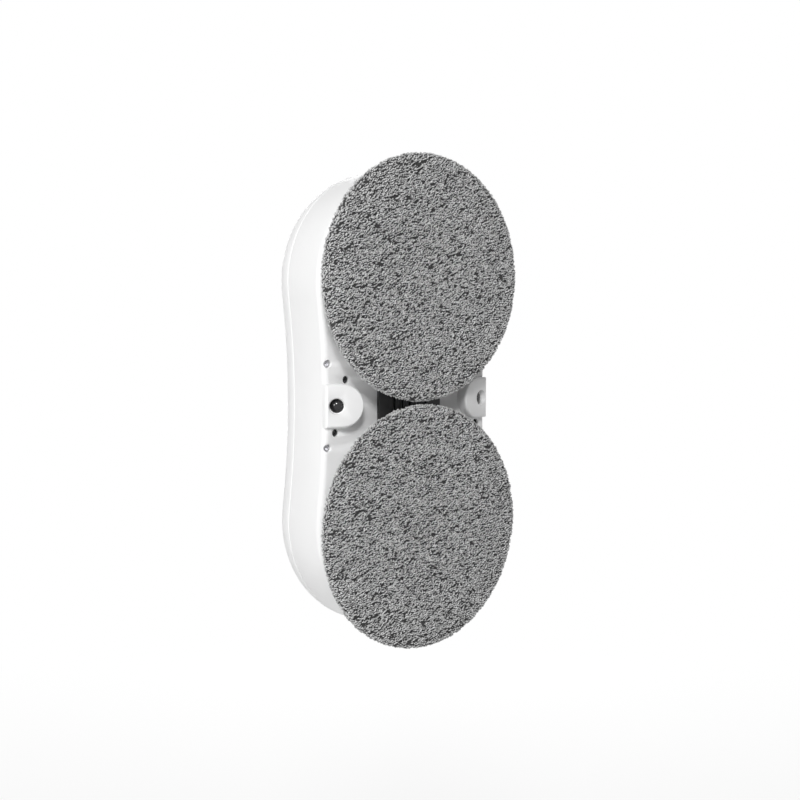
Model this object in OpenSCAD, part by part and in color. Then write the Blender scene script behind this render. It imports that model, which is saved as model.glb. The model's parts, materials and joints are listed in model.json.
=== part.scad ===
// Window cleaning robot with two turning pad wheels, held on the pane by its suction fan.
// X runs across the robot, Y leads away from the glass and Z runs up its long axis.
// The origin lies on the glass, midway between the two wheel axes. Lengths are in millimetres.

/* [Pads and wheels] */
// Diameter of a fleece pad
pad_d = 149; // [144:0.5:150]
// Gap between the rims of the two pads
pad_gap = 1; // [0.5:0.1:4]
// Thickness of a fleece pad
pad_t = 8; // [6:0.5:10]
// Rounding of a pad's rim
pad_edge_r = 3.5; // [2:0.25:3.75]
// Thickness of the hook disc between pad and wheel
hook_t = 0.8; // [0.6:0.1:1.2]
// Overhang of a pad's rim past its wheel
pad_overhang = 8.5; // [6:0.5:11]
// Thickness of the wheel disc
disc_t = 3.5; // [3:0.25:4.5]
// Height of the skirt and ribs behind the wheel disc
skirt_h = 3.7; // [3:0.1:5]
// Diameter of the hub journal that turns in the bush
journal_d = 40; // [38:0.5:41]
// Air bore through the hub
hub_bore_d = 29; // [26:0.5:30]
// Stiffening ribs behind each wheel disc
wheel_ribs = 12; // [8:2:16]

/* [Body shell] */
// Radius of the shell's round ends
end_r = 67; // [66:0.5:70]
// Height of each end arc's centre above or below the middle
end_z = 72; // [71:0.5:76]
// Width of the shell at its waist
waist_w = 125; // [122:0.5:130]
// Gap between the wheel skirts and the underside
floor_gap = 3; // [2.5:0.1:4]
// Depth of the straight side wall
wall_h = 31; // [30:0.5:36]
// Radius of the rounded shoulder
shoulder_r = 22; // [21:0.5:25]
// Slope of the crown where it leaves the shoulder, in degrees
crown_slope = 7; // [5:0.5:9]
// Thickness of the shells
wall_t = 2.4; // [2:0.1:2.8]
// Rounding of the underside's edge
edge_r = 3.5; // [3:0.25:4]

/* [Wheel drive] */
// Tooth size of the spur gears
tooth_module = 1; // [0.95:0.01:1.03]
// Teeth on a wheel gear
gear_teeth = 60; // [58:1:61]
// Teeth on a motor pinion
pinion_teeth = 18; // [17:1:20]
// Face width of the wheel gear
gear_w = 6; // [5:0.5:7]
// Diameter of a gear motor
motor_d = 25; // [22:0.5:26]
// Length of the reduction gearbox
gearbox_l = 15; // [12:0.5:16]
// Length of the motor can behind the gearbox
can_l = 14; // [12:0.5:15]
// Diameter of the pinion shaft
pinion_shaft_d = 3; // [2.5:0.25:4]

/* [Suction fan] */
// Diameter of the impeller
impeller_d = 50; // [46:0.5:54]
// Height of the impeller blades
blade_h = 7; // [6:0.25:7.5]
// Number of impeller blades
blades = 9; // [7:1:13]
// Diameter of the fan's eye
eye_d = 24; // [20:0.5:26]
// Diameter of the fan motor
fan_motor_d = 28; // [24:0.5:30]
// Length of the fan motor
fan_motor_l = 8.5; // [7:0.25:9]
// Diameter of the fan shaft
fan_shaft_d = 3; // [2:0.25:4]

/* [Carrying handle] */
// Distance between the handle's legs, centre to centre
handle_span = 112; // [104:1:114]
// Height of the grip's middle line above the crown
handle_rise = 31; // [28:0.5:36]
// Width of the grip
handle_w = 24; // [20:0.5:26]
// Thickness of the grip
handle_t = 11; // [9:0.5:13]

/* [Controls and sockets] */
// Height of the start button above the middle
button_z = 96; // [94:0.5:97]
// Diameter of the start button
button_d = 16; // [14:0.5:18]
// Travel of the start button
button_travel = 1; // [0.6:0.1:1.2]
// Depth of the power switch below the middle
switch_z = 106; // [105:0.5:108]
// Tilt of the rocker to each side, in degrees
rocker_tilt = 7; // [5:0.5:9]
// Bore of the power inlet
inlet_d = 5.6; // [5:0.1:6.5]
// Bore of the tether eye
tether_bore_d = 6; // [5:0.25:7]
// Diameter of the collision sensors' black domes
dome_d = 8.3; // [7.5:0.1:9]
// Diameter of the black sensor ports in the underside
port_d = 4.8; // [4:0.1:5.2]
// Diameter of the housing's screw wells
well_d = 4.8; // [4.6:0.1:5]

/* [Fits] */
// Radial running clearance of shafts in their bores
run_gap = 0.05; // [0.02:0.01:0.08]
// Clearance between pieces that sit in each other
seat_gap = 0.15; // [0.1:0.05:0.25]
// Backlash of the spur gears
backlash = 0.12; // [0.08:0.02:0.2]

/* [Hidden] */
$fn = 64;

// Levels away from the glass, from the pad outwards
hook_y = pad_t;
disc_y = hook_y + hook_t;
rib_y = disc_y + disc_t;
skirt_y = rib_y + skirt_h;
floor_y = skirt_y + floor_gap;
floor_t = wall_t;
floor_in = floor_y + floor_t;
seam_y = floor_y + wall_h;
lip_h = 2.5;
lip_t = 1.2;
lip_in = wall_t + seat_gap;

// Outline of the shell: two end arcs joined by long hollow waist arcs that meet them smoothly
waist_half = waist_w / 2;
waist_r = (pow(waist_half, 2) + pow(end_z, 2) - pow(end_r, 2)) / (2 * (end_r - waist_half));
blend_a = asin(end_z / (end_r + waist_r));
end_steps = 14;
waist_steps = 8;

// Crown of the top cover: a slow curve that ends flat along the middle
crown_inset = waist_half - 2.5;
arc_end = 90 - crown_slope;
shoulder_in = shoulder_r * (1 - cos(arc_end));
crown_run = crown_inset - shoulder_in;
crown_y = crown_height(crown_inset);
ceiling_y = crown_y - wall_t;

// Wheels, bushes and gears
wheel_z = (pad_d + pad_gap) / 2;
pad_r = pad_d / 2;
wheel_r = pad_r - pad_overhang;
journal_r = journal_d / 2;
hub_bore_r = hub_bore_d / 2;
skirt_t = 2.5;
rib_t = 1.6;
hub_root = 4;
bush_t = 2.5;
bush_flange = 3.5;
bush_flange_t = 1.4;
bush_r = journal_r + bush_t;
boss_t = 3.5;
boss_h = 1.8;
bush_end = floor_in + boss_h;
thrust_gap = 0.2;
gear_y = bush_end + 0.4;
gear_end = gear_y + gear_w;
clip_gap = 0.4;
clip_t = 1.2;
clip_y = gear_end + clip_gap;
clip_groove = 1;
clip_r = journal_r + 3.5;
hub_end = clip_y + clip_t + 0.6;
key_w = 6;
key_depth = 2.5;
seal_in = journal_r + 10;
seal_w = 6;
seal_gap = 0.3;
land_extra = 2;

// Spur gears
pressure = 20;
pair_distance = tooth_module * (gear_teeth + pinion_teeth) / 2;
pinion_shaft_r = pinion_shaft_d / 2;
flank_steps = 4;

// Deck above the gears
deck_y = hub_end + 0.6;
deck_t = 2.5;
deck_top = deck_y + deck_t;
deck_gap = 0.4;
post_r = 3.5;
thread_r = 1.25;
screw_head_r = 2.2;
screw_head_h = 1.5;
screw_recess_r = 1;
screw_bite = 4;
pilot_past = 1.5;
post_inset = 4.5;
deck_post_ring = end_r - wall_t - post_r - post_inset;
deck_post_a = 54.3;
deck_post_x = deck_post_ring * cos(deck_post_a);
deck_post_z = end_z + deck_post_ring * sin(deck_post_a);
deck_mid_x = waist_half - 26.5;

// Air duct from both hubs to the fan
duct_r = hub_bore_r + 2.7;
duct_t = 1.6;
duct_h = 10;
duct_top = deck_top + duct_h + duct_t;

// Fan
gasket_t = 1;
shroud_y = duct_top + gasket_t;
shroud_t = 1.4;
impeller_r = impeller_d / 2;
eye_r = eye_d / 2;
shroud_in = impeller_r + 5;
shroud_r = shroud_in + 1.6;
fan_running_gap = 0.6;
blade_y = shroud_y + shroud_t + fan_running_gap;
back_y = blade_y + blade_h;
back_t = 1.4;
fan_shaft_r = fan_shaft_d / 2;
fan_motor_r = fan_motor_d / 2;
diffuser_y = back_y + back_t + fan_running_gap;
diffuser_t = 2;
fan_motor_y = diffuser_y + diffuser_t;
exhaust_r = 27;
exhaust_flange_r = exhaust_r + 2.5;
exhaust_seat = crown_y - 1;
grille_pitch = 5.6;
grille_bar = 1.8;

// Gear motors, upper to the right and lower to the left
motor_r = motor_d / 2;
can_r = motor_r - 1;
motor_boss_r = 3.5;
motor_screw_z = 8.5;
shaft_depth = 6;
contact_w = 3;
contact_t = 0.8;
contact_l = 2;

// Batteries beside the duct
cell_r = 9.2;
cell_l = 65;
cell_pitch = 2 * cell_r + 0.4;
cell_start = 30;
cradle_in = duct_r + 0.8;
cradle_t = 2;
cell_y = deck_top + cradle_t + cell_r + 0.3;

// Circuit board above the duct
board_y = duct_top + 9.4;
board_t = 1.6;
board_half = 19;
board_l = 54;
board_z0 = wheel_z - 17;
board_z1 = board_z0 + board_l;
board_hole_x = 15;
board_hole_low = board_z0 + 5;
board_hole_high = board_z1 - 5;
board_top = board_y + board_t;
chip_w = 12;
chip_h = 1.4;
chip_z = board_z0 + 22;
cap_x = 13;
cap_r = 3.5;
cap_h = 8;
plug_w = 6;
plug_h = 5;
plug_pitch = 8;

// Start button, its light ring and its guide
button_r = button_d / 2;
ring_w = 3;
ring_seat = crown_height(end_r - (button_z - end_z)) - 1.6;
ring_top = ring_seat + 2.2;
guide_l = 5;
guide_y = ring_seat - guide_l;
guide_gap = 0.08;
button_flange = 1.6;
button_flange_t = 1.4;
stem_r = 2;
tact_h = 4.3;
tact_w = 6;

// Power switch
switch_w = 12.6;
switch_l = 18.8;
switch_depth = 15;
switch_rim = 1.2;
switch_seat = crown_height(end_r - (switch_z - end_z)) - 1.2;
switch_flange_t = 1.4;
rocker_w = 9.4;
rocker_l = 15;
rocker_pin_r = 1.4;
rocker_y = switch_seat + switch_flange_t - 0.6;
cavity_depth = 7;

// Remote window, tether eye, handle and inlet
window_z = 84;
window_r = 3;
window_top = crown_height(end_r - (window_z - end_z));
tether_z = 116;
tether_seat = crown_height(end_r - (tether_z - end_z)) - 0.8;
tether_flange_r = 6;
tether_flange_t = 1.6;
tether_t = 5;
tether_bore_r = tether_bore_d / 2;
tether_r = tether_bore_r + 3.2;
tether_rise = tether_r + 1;
stud_r = 2.5;
nut_t = 4;
tether_boss_h = 4;
nut_r = 4.6;
handle_half = handle_span / 2;
handle_screw_x = 6;
arch_shape = 2.6;
arch_steps = 28;
grip_sides = 16;
inlet_flange_r = 6;
inlet_y = deck_top + inlet_flange_r + 0.3;
inlet_r = inlet_d / 2;
inlet_body_r = 5.5;
inlet_depth = 9.5;
inlet_body_l = 15;

// Slotted panel in the underside
panel_t = 1.8;
panel_w = 48;
slot_pitch = 6;
slot_w = 2.4;
slot_l = 30;
intake_w = 36;
intake_l = 44;

// Side pods, sensors and screw wells
pod_in = 39.5;
pod_r = 12.75;
pod_h = 8.3;
pod_slope = 15.6;
pod_round = 1.6;
pod_out = waist_half;
pod_cut = edge_r - 0.9;
pod_x = pod_in + pod_r;
dome_x = waist_half - 7.8;
dome_y = floor_y - 1;
dome_r = dome_d / 2;
dome_tilt = 35;
scoop_gap = 0.7;
sensor_l = 6;
barrel_r = dome_r - 0.75;
port_up = [47.3, 15];
port_low = [54.9, -16];
port_r = port_d / 2;
well_x = waist_half - 2.3;
well_z = 24.7;
well_r = well_d / 2;
well_depth = 3.4;
well_post_r = 4;

// Radius of the shell's crown line above the seam for a point so far in from the outline
function crown_height(inset) = inset < shoulder_in
    ? seam_y + sqrt(pow(shoulder_r, 2) - pow(shoulder_r - inset, 2))
    : let (run = inset - shoulder_in)
        seam_y + shoulder_r * sin(arc_end)
            + tan(crown_slope) * (run - pow(run, 2) / (2 * crown_run));

// Right half of the outline, drawn in by inset, from the bottom to the top
function right_side(inset) = concat(
    [for (i = [0 : end_steps]) let (a = -90 + (90 + blend_a) * i / end_steps)
        [(end_r - inset) * cos(a), -end_z + (end_r - inset) * sin(a)]],
    [for (i = [1 : waist_steps - 1]) let (a = 180 + blend_a - 2 * blend_a * i / waist_steps)
        [waist_half + waist_r + (waist_r + inset) * cos(a), (waist_r + inset) * sin(a)]],
    [for (i = [0 : end_steps]) let (a = -blend_a + (90 + blend_a) * i / end_steps)
        [(end_r - inset) * cos(a), end_z + (end_r - inset) * sin(a)]]);

// The whole outline, drawn in by inset
function outline(inset) = let (right = right_side(inset), n = len(right))
    concat(right, [for (i = [n - 2 : -1 : 1]) [-right[i][0], right[i][1]]]);

// Rows of the rounded shoulder and the crown, for a shell surface set in by depth
function crown_rows(depth, arc_steps, top_steps) = concat(
    [for (i = [0 : arc_steps]) let (a = arc_end * i / arc_steps, r = shoulder_r - depth)
        [shoulder_r - r * cos(a), seam_y + r * sin(a)]],
    [for (i = [1 : top_steps]) let (inset = shoulder_in + crown_run * i / top_steps)
        [inset, crown_height(inset) - depth]]);

// Half the angle that a tooth spans at radius r, on an involute gear
function involute(base_r, r) = let (a = acos(min(1, base_r / r))) tan(a) * 180 / PI - a;
function tooth_half(teeth, r) = let (pitch_r = tooth_module * teeth / 2,
        base_r = pitch_r * cos(pressure))
    90 / teeth - backlash / 4 / pitch_r * 180 / PI + involute(base_r, pitch_r)
        - involute(base_r, max(r, base_r));

// Outline of a spur gear whose first tooth points along X
function gear_points(teeth) = let (pitch_r = tooth_module * teeth / 2,
        root_r = pitch_r - 1.25 * tooth_module, tip_r = pitch_r + tooth_module,
        flank_r = max(root_r, pitch_r * cos(pressure)))
    [for (i = [0 : teeth - 1], side = [-1, 1], k = [0 : flank_steps + 1])
        let (step = side < 0 ? k : flank_steps + 1 - k,
            r = step == 0 ? root_r : flank_r + (tip_r - flank_r) * (step - 1) / flank_steps,
            a = 360 * i / teeth + side * tooth_half(teeth, max(r, flank_r)))
        [r * cos(a), r * sin(a)]];

// Outline of a backward-curved impeller blade, from the hub to the rim
blade_in = 8;
blade_t = 1.3;
blade_sweep = 55;
blade_steps = 7;
blade_tip_gap = 0.3;
function blade_side(side) = [for (i = [0 : blade_steps])
    let (r = blade_in + (impeller_r - blade_in - blade_tip_gap) * i / blade_steps,
        share = (r - blade_in) / (impeller_r - blade_in),
        a = -blade_sweep * share + side * blade_t / 2 / r * 180 / PI * 1.25)
    [r * cos(a), r * sin(a)]];
function backwards(points) = [for (i = [len(points) - 1 : -1 : 0]) points[i]];
function blade_points() = concat(blade_side(-1), backwards(blade_side(1)));

// Outline of the air duct: a long slot with round ends
duct_steps = 16;
function slot_points(r, half) = [for (end = [1, -1], i = [0 : duct_steps])
    let (a = (end > 0 ? 0 : 180) + 180 * i / duct_steps) [r * cos(a), end * half + r * sin(a)]];

// A flat piece drawn in X and Z that spans y0 to y1
module slab(y0, y1) {
    rotate([90, 0, 0]) mirror([0, 0, 1]) translate([0, 0, y0]) linear_extrude(y1 - y0) children();
}

// A round bar along Y
module bar(x, z, r, y0, y1) {
    translate([x, y0, z]) rotate([-90, 0, 0]) cylinder(r = r, h = y1 - y0);
}

// A ring along Y
module tube(x, z, r_in, r_out, y0, y1) {
    difference() {
        bar(x, z, r_out, y0, y1);
        bar(x, z, r_in, y0 - 1, y1 + 1);
    }
}

// A turned shape about an axis along Y; its profile holds radius and distance from the glass
module turned(x, z) {
    translate([x, 0, z]) rotate([-90, 0, 0]) rotate_extrude() children();
}

// A box given by its two corners
module block(low, high) {
    translate(low) cube(high - low);
}

// A closed skin through rows of [inset, distance from the glass]
module shell(rows) {
    rings = [for (row = rows) [for (p = outline(row[0])) [p[0], row[1], p[1]]]];
    n = len(rings[0]);
    half = n / 2;
    last = (len(rows) - 1) * n;
    sides = [for (i = [0 : len(rows) - 2], k = [0 : n - 1])
        let (a = i * n + k, b = i * n + (k + 1) % n) each [[a, b, b + n], [a, b + n, a + n]]];
    near_cap = concat([[n - 1, 1, 0]],
        [for (k = [1 : half - 2]) [n - k, n - k - 1, k + 1, k]],
        [[half + 1, half, half - 1]]);
    far_cap = concat([[last, last + 1, last + n - 1]],
        [for (k = [1 : half - 2]) [last + k, last + k + 1, last + n - k - 1, last + n - k]],
        [[last + half - 1, last + half, last + half + 1]]);
    polyhedron([for (ring = rings, p = ring) p], concat(sides, near_cap, far_cap));
}

// A screw along Y: its head starts at y and its shank leads away in the given direction
module screw(x, y, z, length, away = 1) {
    translate([x, y, z]) rotate([-90 * away, 0, 0]) difference() {
        union() {
            cylinder(r = screw_head_r, h = screw_head_h);
            cylinder(r = thread_r, h = length);
        }
        translate([0, 0, -1]) cylinder(r = screw_recess_r, h = 1 + 0.6 * screw_head_h, $fn = 6);
    }
}

module at_wells() {
    for (side = [-1, 1], end = [-1, 1]) translate([side * well_x, 0, end * well_z]) children();
}

module at_deck_posts() {
    for (side = [-1, 1]) {
        translate([side * deck_mid_x, 0, 0]) children();
        for (end = [-1, 1]) translate([side * deck_post_x, 0, end * deck_post_z]) children();
    }
}

// Both sides of the robot
module both_sides() {
    for (side = [0, 1]) mirror([side, 0, 0]) children();
}

// A piece of the upper end, turned half round about Y to the lower end
module lower_end() {
    rotate([0, 180, 0]) children();
}

// Axis of the right collision sensor, from the dome's base outwards
module along_sensor() {
    translate([dome_x, dome_y, 0]) rotate([90, 0, 0]) rotate([0, dome_tilt, 0]) children();
}

module bottom_skin() {
    corner = 2;
    fillet = [for (i = [0 : 4]) let (a = 90 * i / 4)
        [edge_r * (1 - sin(a)), floor_y + edge_r * (1 - cos(a))]];
    shell(concat(fillet, [[0, seam_y], [wall_t, seam_y],
        [wall_t, floor_in + corner], [wall_t + corner, floor_in]]));
}

// Tray of the shell: it carries the bushes, the deck posts, the sensors and the power inlet
module bottom_housing() {
    color("white") difference() {
        union() {
            bottom_skin();
            for (end = [-1, 1]) {
                bar(0, end * wheel_z, bush_r + boss_t, floor_in - 1, bush_end);
                bar(end * pair_distance, end * wheel_z, pinion_shaft_r + 2.5, floor_in - 1, gear_y - 0.3);
            }
            at_deck_posts() bar(0, 0, post_r, floor_in - 1, deck_y);
            intersection() {
                at_wells() bar(0, 0, well_post_r, floor_in - 1, seam_y - lip_h - 0.3);
                shell([[wall_t / 2, floor_y + 1], [wall_t / 2, seam_y]]);
            }
            both_sides() for (port = [port_up, port_low])
                bar(port[0], port[1], port_r + 1.4, floor_in - 1, floor_in + 2);
        }
        for (end = [-1, 1]) {
            bar(0, end * wheel_z, bush_r, floor_y - 1, bush_end + 1);
            bar(end * pair_distance, end * wheel_z, pinion_shaft_r + run_gap, floor_y + 0.8, gear_y);
        }
        at_deck_posts() bar(0, 0, thread_r, deck_y - screw_bite - pilot_past, deck_y + 1);
        at_wells() {
            bar(0, 0, well_r, floor_y - 1, floor_y + well_depth);
            bar(0, 0, thread_r + seat_gap, floor_y, seam_y + 1);
        }
        both_sides() {
            for (port = [port_up, port_low]) bar(port[0], port[1], port_r, floor_y - 1, floor_in + 3);
            sensor_cut();
            block([waist_half - edge_r, floor_y - 1, -pod_r],
                [waist_half + 5, floor_y + pod_cut, pod_r]);
        }
        slab(floor_y - 1, floor_in + 1) square([intake_w, intake_l], center = true);
        translate([waist_half - wall_t - 3, inlet_y, 0]) rotate([0, 90, 0])
            cylinder(r = inlet_body_r + seat_gap, h = wall_t + 6);
    }
}

// Scoop in front of a collision sensor's dome and the bore for its barrel
module sensor_cut() {
    along_sensor() {
        cylinder(r = dome_r + scoop_gap, h = 12);
        translate([0, 0, -sensor_l - 4]) cylinder(r = barrel_r + seat_gap, h = sensor_l + 5);
    }
}

module top_skin() {
    inside = crown_rows(wall_t, 5, 2);
    shell(concat([for (i = [len(inside) - 1 : -1 : 1]) inside[i]],
        [[lip_in + lip_t, seam_y + 1.5], [lip_in + lip_t, seam_y - lip_h],
        [lip_in, seam_y - lip_h], [lip_in, seam_y]], crown_rows(0, 9, 4)));
}

// Domed half of the shell: it carries the handle, the exhaust, the controls and the tether eye
module top_cover() {
    guide_r = button_r + ring_w + 2;
    boss = 1.5;
    color("white") difference() {
        union() {
            top_skin();
            bar(0, button_z, guide_r, guide_y, ring_seat);
            bar(0, tether_z, tether_flange_r - 0.5, tether_seat - tether_boss_h, tether_seat);
            block([-switch_w / 2 - boss, switch_seat - 4, -switch_z - switch_l / 2 - boss],
                [switch_w / 2 + boss, switch_seat, -switch_z + switch_l / 2 + boss]);
            intersection() {
                at_wells() bar(0, 0, well_post_r, seam_y - lip_h, seam_y + screw_bite + pilot_past + 1);
                shell(concat([[lip_in, seam_y - lip_h - 1], [lip_in, seam_y]], crown_rows(wall_t / 2, 4, 1)));
            }
        }
        bar(0, 0, exhaust_r, ceiling_y - 5, crown_y + 5);
        bar(0, 0, exhaust_flange_r + seat_gap, exhaust_seat, crown_y + 5);
        bar(0, button_z, button_r + guide_gap, guide_y - 1, crown_y + 5);
        bar(0, button_z, button_r + ring_w + seat_gap, ring_seat, crown_y + 5);
        bar(0, tether_z, stud_r + seat_gap, tether_seat - tether_boss_h - 1, tether_seat + 1);
        bar(0, tether_z, tether_flange_r + seat_gap, tether_seat, crown_y + 5);
        bar(0, -window_z, window_r + seat_gap, ceiling_y - 5, crown_y + 5);
        switch_hole(seat_gap, switch_seat - 5);
        switch_hole(switch_rim + seat_gap, switch_seat);
        at_handle_screws() bar(0, 0, thread_r + seat_gap, ceiling_y - 5, crown_y + 5);
        at_wells() bar(0, 0, thread_r, seam_y - lip_h - 1, seam_y + screw_bite + pilot_past);
    }
}

module switch_hole(grow, from) {
    block([-switch_w / 2 - grow, from, -switch_z - switch_l / 2 - grow],
        [switch_w / 2 + grow, crown_y + 5, -switch_z + switch_l / 2 + grow]);
}

module at_handle_screws() {
    for (side = [-1, 1], end = [-1, 1])
        translate([side * handle_screw_x, 0, end * handle_half]) children();
}

// Dark slotted panel in the middle of the underside, cut round both wheel seals
module centre_panel() {
    color("dimgray") slab(floor_y - panel_t, floor_y) difference() {
        square([panel_w, 2 * wheel_z], center = true);
        for (end = [-1, 1]) translate([0, end * wheel_z]) circle(r = seal_in + seal_w + 4);
        for (i = [-2 : 2]) translate([i * slot_pitch, 0]) square([slot_w, slot_l], center = true);
    }
}

// Plate above the gears that carries the motors, the duct, the batteries and the board
module deck() {
    color("gainsboro") difference() {
        union() {
            slab(deck_y, deck_top) polygon(outline(wall_t + deck_gap));
            for (side = [-1, 1])
                bar(side * board_hole_x, board_hole_high, post_r - 0.5, deck_top - 1, board_y);
        }
        for (end = [-1, 1]) {
            bar(0, end * wheel_z, hub_bore_r, deck_y - 1, deck_top + 1);
            bar(end * pair_distance, end * wheel_z, motor_boss_r + seat_gap, deck_y - 1, deck_top + 1);
        }
        at_motor_screws() bar(0, 0, thread_r + seat_gap, deck_y - 1, deck_top + 1);
        at_deck_posts() bar(0, 0, thread_r + seat_gap, deck_y - 1, deck_top + 1);
        at_wells() bar(0, 0, well_post_r + deck_gap, deck_y - 1, deck_top + 1);
        for (side = [-1, 1]) bar(side * board_hole_x, board_hole_high, thread_r,
            board_y - screw_bite - pilot_past, board_y + 1);
    }
}

module at_motor_screws() {
    for (end = [-1, 1], side = [-1, 1])
        translate([end * pair_distance, 0, end * wheel_z + side * motor_screw_z]) children();
}

// Closed channel from both hollow hubs to the fan's eye
module air_duct() {
    color("darkgray") difference() {
        union() {
            slab(deck_top, duct_top) polygon(slot_points(duct_r, wheel_z));
            for (side = [-1, 1])
                bar(side * board_hole_x, board_hole_low, post_r - 0.5, duct_top - 1, board_y);
        }
        slab(deck_top - 1, duct_top - duct_t) polygon(slot_points(duct_r - duct_t, wheel_z));
        bar(0, 0, eye_r, duct_top - duct_t - 1, duct_top + 1);
        for (side = [-1, 1]) bar(side * board_hole_x, board_hole_low, thread_r,
            board_y - screw_bite - pilot_past, board_y + 1);
    }
}

// Round grille over the fan motor: rings on six spokes
module exhaust_grille() {
    color("darkslategray") {
        difference() {
            union() {
                tube(0, 0, exhaust_r - 2.5, exhaust_flange_r, exhaust_seat, exhaust_seat + 1.7);
                tube(0, 0, exhaust_r - 2.5, exhaust_r - seat_gap, exhaust_seat - 3, exhaust_seat + 0.5);
                for (i = [1 : 4]) tube(0, 0, i * grille_pitch - grille_bar, i * grille_pitch,
                    exhaust_seat - 1.5, exhaust_seat + 1);
                for (i = [0 : 2]) translate([0, exhaust_seat - 1.5, 0]) rotate([0, 60 * i, 0])
                    block([-exhaust_r + 2, 0, -0.9], [exhaust_r - 2, 2, 0.9]);
            }
            bar(0, 0, grille_pitch - grille_bar, exhaust_seat - 2, exhaust_seat + 2);
        }
        bar(0, 0, grille_pitch - grille_bar, exhaust_seat - 1.5, exhaust_seat + 1);
    }
}

// Middle line of the handle: a squarish arch over the crown
function arch_power(v, p) = (v < 0 ? -1 : 1) * pow(abs(v), p);
function arch_point(t) = [handle_half * arch_power(cos(t), 2 / arch_shape),
    crown_y + handle_rise * arch_power(sin(t), 2 / arch_shape)];
function arch_way(t) = let (p = 2 - 2 / arch_shape, along = -handle_half * pow(sin(t), p),
        up = handle_rise * arch_power(cos(t), p), size = norm([along, up]))
    [along / size, up / size];
function grip_ring(t) = let (c = arch_point(t), d = arch_way(t))
    [for (i = [0 : grip_sides - 1]) let (u = 360 * i / grip_sides,
        across = handle_w / 2 * arch_power(cos(u), 0.65), out = handle_t / 2 * arch_power(sin(u), 0.65))
        [across, c[1] - out * d[0], c[0] + out * d[1]]];

module carry_handle() {
    rings = [for (i = [0 : arch_steps]) grip_ring(180 * i / arch_steps)];
    n = grip_sides;
    last = arch_steps * n;
    color("white") difference() {
        union() {
            polyhedron([for (ring = rings, p = ring) p], concat(
                [for (i = [0 : arch_steps - 1], k = [0 : n - 1]) let (a = i * n + k,
                    b = i * n + (k + 1) % n) each [[a, b, b + n], [a, b + n, a + n]]],
                [[for (k = [n - 1 : -1 : 0]) k], [for (k = [0 : n - 1]) last + k]]));
            for (end = [-1, 1]) translate([0, crown_y, end * handle_half])
                block([-handle_w / 2 - 1.2, 0, -handle_t / 2 - 3], [handle_w / 2 + 1.2, 2, handle_t / 2 + 3]);
        }
        at_handle_screws() bar(0, 0, thread_r, crown_y - 1, crown_y + 1.5 * screw_bite + pilot_past);
    }
}

// Round profile of a wheel: disc, skirt, seal land and the hollow hub with its clip groove
module wheel_profile() {
    land_y = skirt_y - seal_gap;
    thrust_y = floor_y - bush_flange_t - thrust_gap;
    polygon([[hub_bore_r, disc_y], [wheel_r - 1, disc_y], [wheel_r, disc_y + 1], [wheel_r, skirt_y],
        [wheel_r - skirt_t, skirt_y], [wheel_r - skirt_t, rib_y],
        [seal_in + seal_w + land_extra, rib_y], [seal_in + seal_w + land_extra, land_y],
        [seal_in - land_extra, land_y], [seal_in - land_extra, rib_y],
        [journal_r + hub_root, rib_y], [journal_r + hub_root, thrust_y], [journal_r, thrust_y],
        [journal_r, clip_y], [journal_r - clip_groove, clip_y],
        [journal_r - clip_groove, clip_y + clip_t], [journal_r, clip_y + clip_t],
        [journal_r, hub_end], [hub_bore_r, hub_end]]);
}

module upper_wheel() {
    color("whitesmoke") difference() {
        union() {
            turned(0, wheel_z) wheel_profile();
            bar(0, wheel_z, 6, disc_y, rib_y);
            for (i = [0 : 1]) translate([0, 0, wheel_z]) rotate([0, 90 * i, 0])
                block([-hub_bore_r - 1, disc_y, -1.5], [hub_bore_r + 1, rib_y, 1.5]);
            for (i = [0 : wheel_ribs - 1]) translate([0, 0, wheel_z])
                rotate([0, 360 * (i + 0.5) / wheel_ribs, 0])
                block([journal_r + hub_root - 1, rib_y - 1, -rib_t / 2],
                    [wheel_r - skirt_t + 1, skirt_y - 0.7, rib_t / 2]);
        }
        for (i = [0 : 2]) translate([0, 0, wheel_z]) rotate([0, 120 * i, 0])
            block([hub_bore_r - 2, gear_y - 0.2, -key_w / 2 - seat_gap],
                [journal_r + 2, hub_end + 1, key_w / 2 + seat_gap]);
    }
}

// Hook disc that holds the fleece on the wheel
module upper_hook_disc() {
    color("dimgray") tube(0, wheel_z, hub_bore_r, wheel_r - 4, hook_y, disc_y);
}

// Fleece pad with a rounded rim
module upper_pad() {
    rear_r = 1.5;
    color("gray") turned(0, wheel_z) polygon(concat([[0, 0]],
        [for (i = [0 : 5]) let (a = 18 * i)
            [pad_r - pad_edge_r * (1 - sin(a)), pad_edge_r * (1 - cos(a))]],
        [for (i = [0 : 3]) let (a = 30 * i)
            [pad_r - rear_r * (1 - cos(a)), pad_t - rear_r * (1 - sin(a))]],
        [[0, pad_t]]));
}

// Spur gear keyed to the hub by three inner tabs
module upper_gear() {
    color("ivory") translate([0, 0, wheel_z]) {
        difference() {
            slab(gear_y, gear_end) polygon(gear_points(gear_teeth));
            bar(0, 0, journal_r, gear_y - 1, gear_end + 1);
        }
        for (i = [0 : 2]) rotate([0, 120 * i, 0])
            block([journal_r - key_depth, gear_y, -key_w / 2], [journal_r + 1, gear_end, key_w / 2]);
    }
}

// Open clip in the hub's groove
module upper_retainer() {
    color("silver") difference() {
        tube(0, wheel_z, journal_r - clip_groove, clip_r, clip_y, clip_y + clip_t);
        block([-clip_r - 1, clip_y - 1, wheel_z - 4], [-hub_bore_r, clip_y + clip_t + 1, wheel_z + 4]);
    }
}

// Flanged bush in the floor
module upper_bush() {
    bore = journal_r + run_gap;
    color("tan") turned(0, wheel_z) polygon([[bore, floor_y - bush_flange_t],
        [bush_r + bush_flange, floor_y - bush_flange_t], [bush_r + bush_flange, floor_y],
        [bush_r, floor_y], [bush_r, bush_end], [bore, bush_end]]);
}

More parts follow.
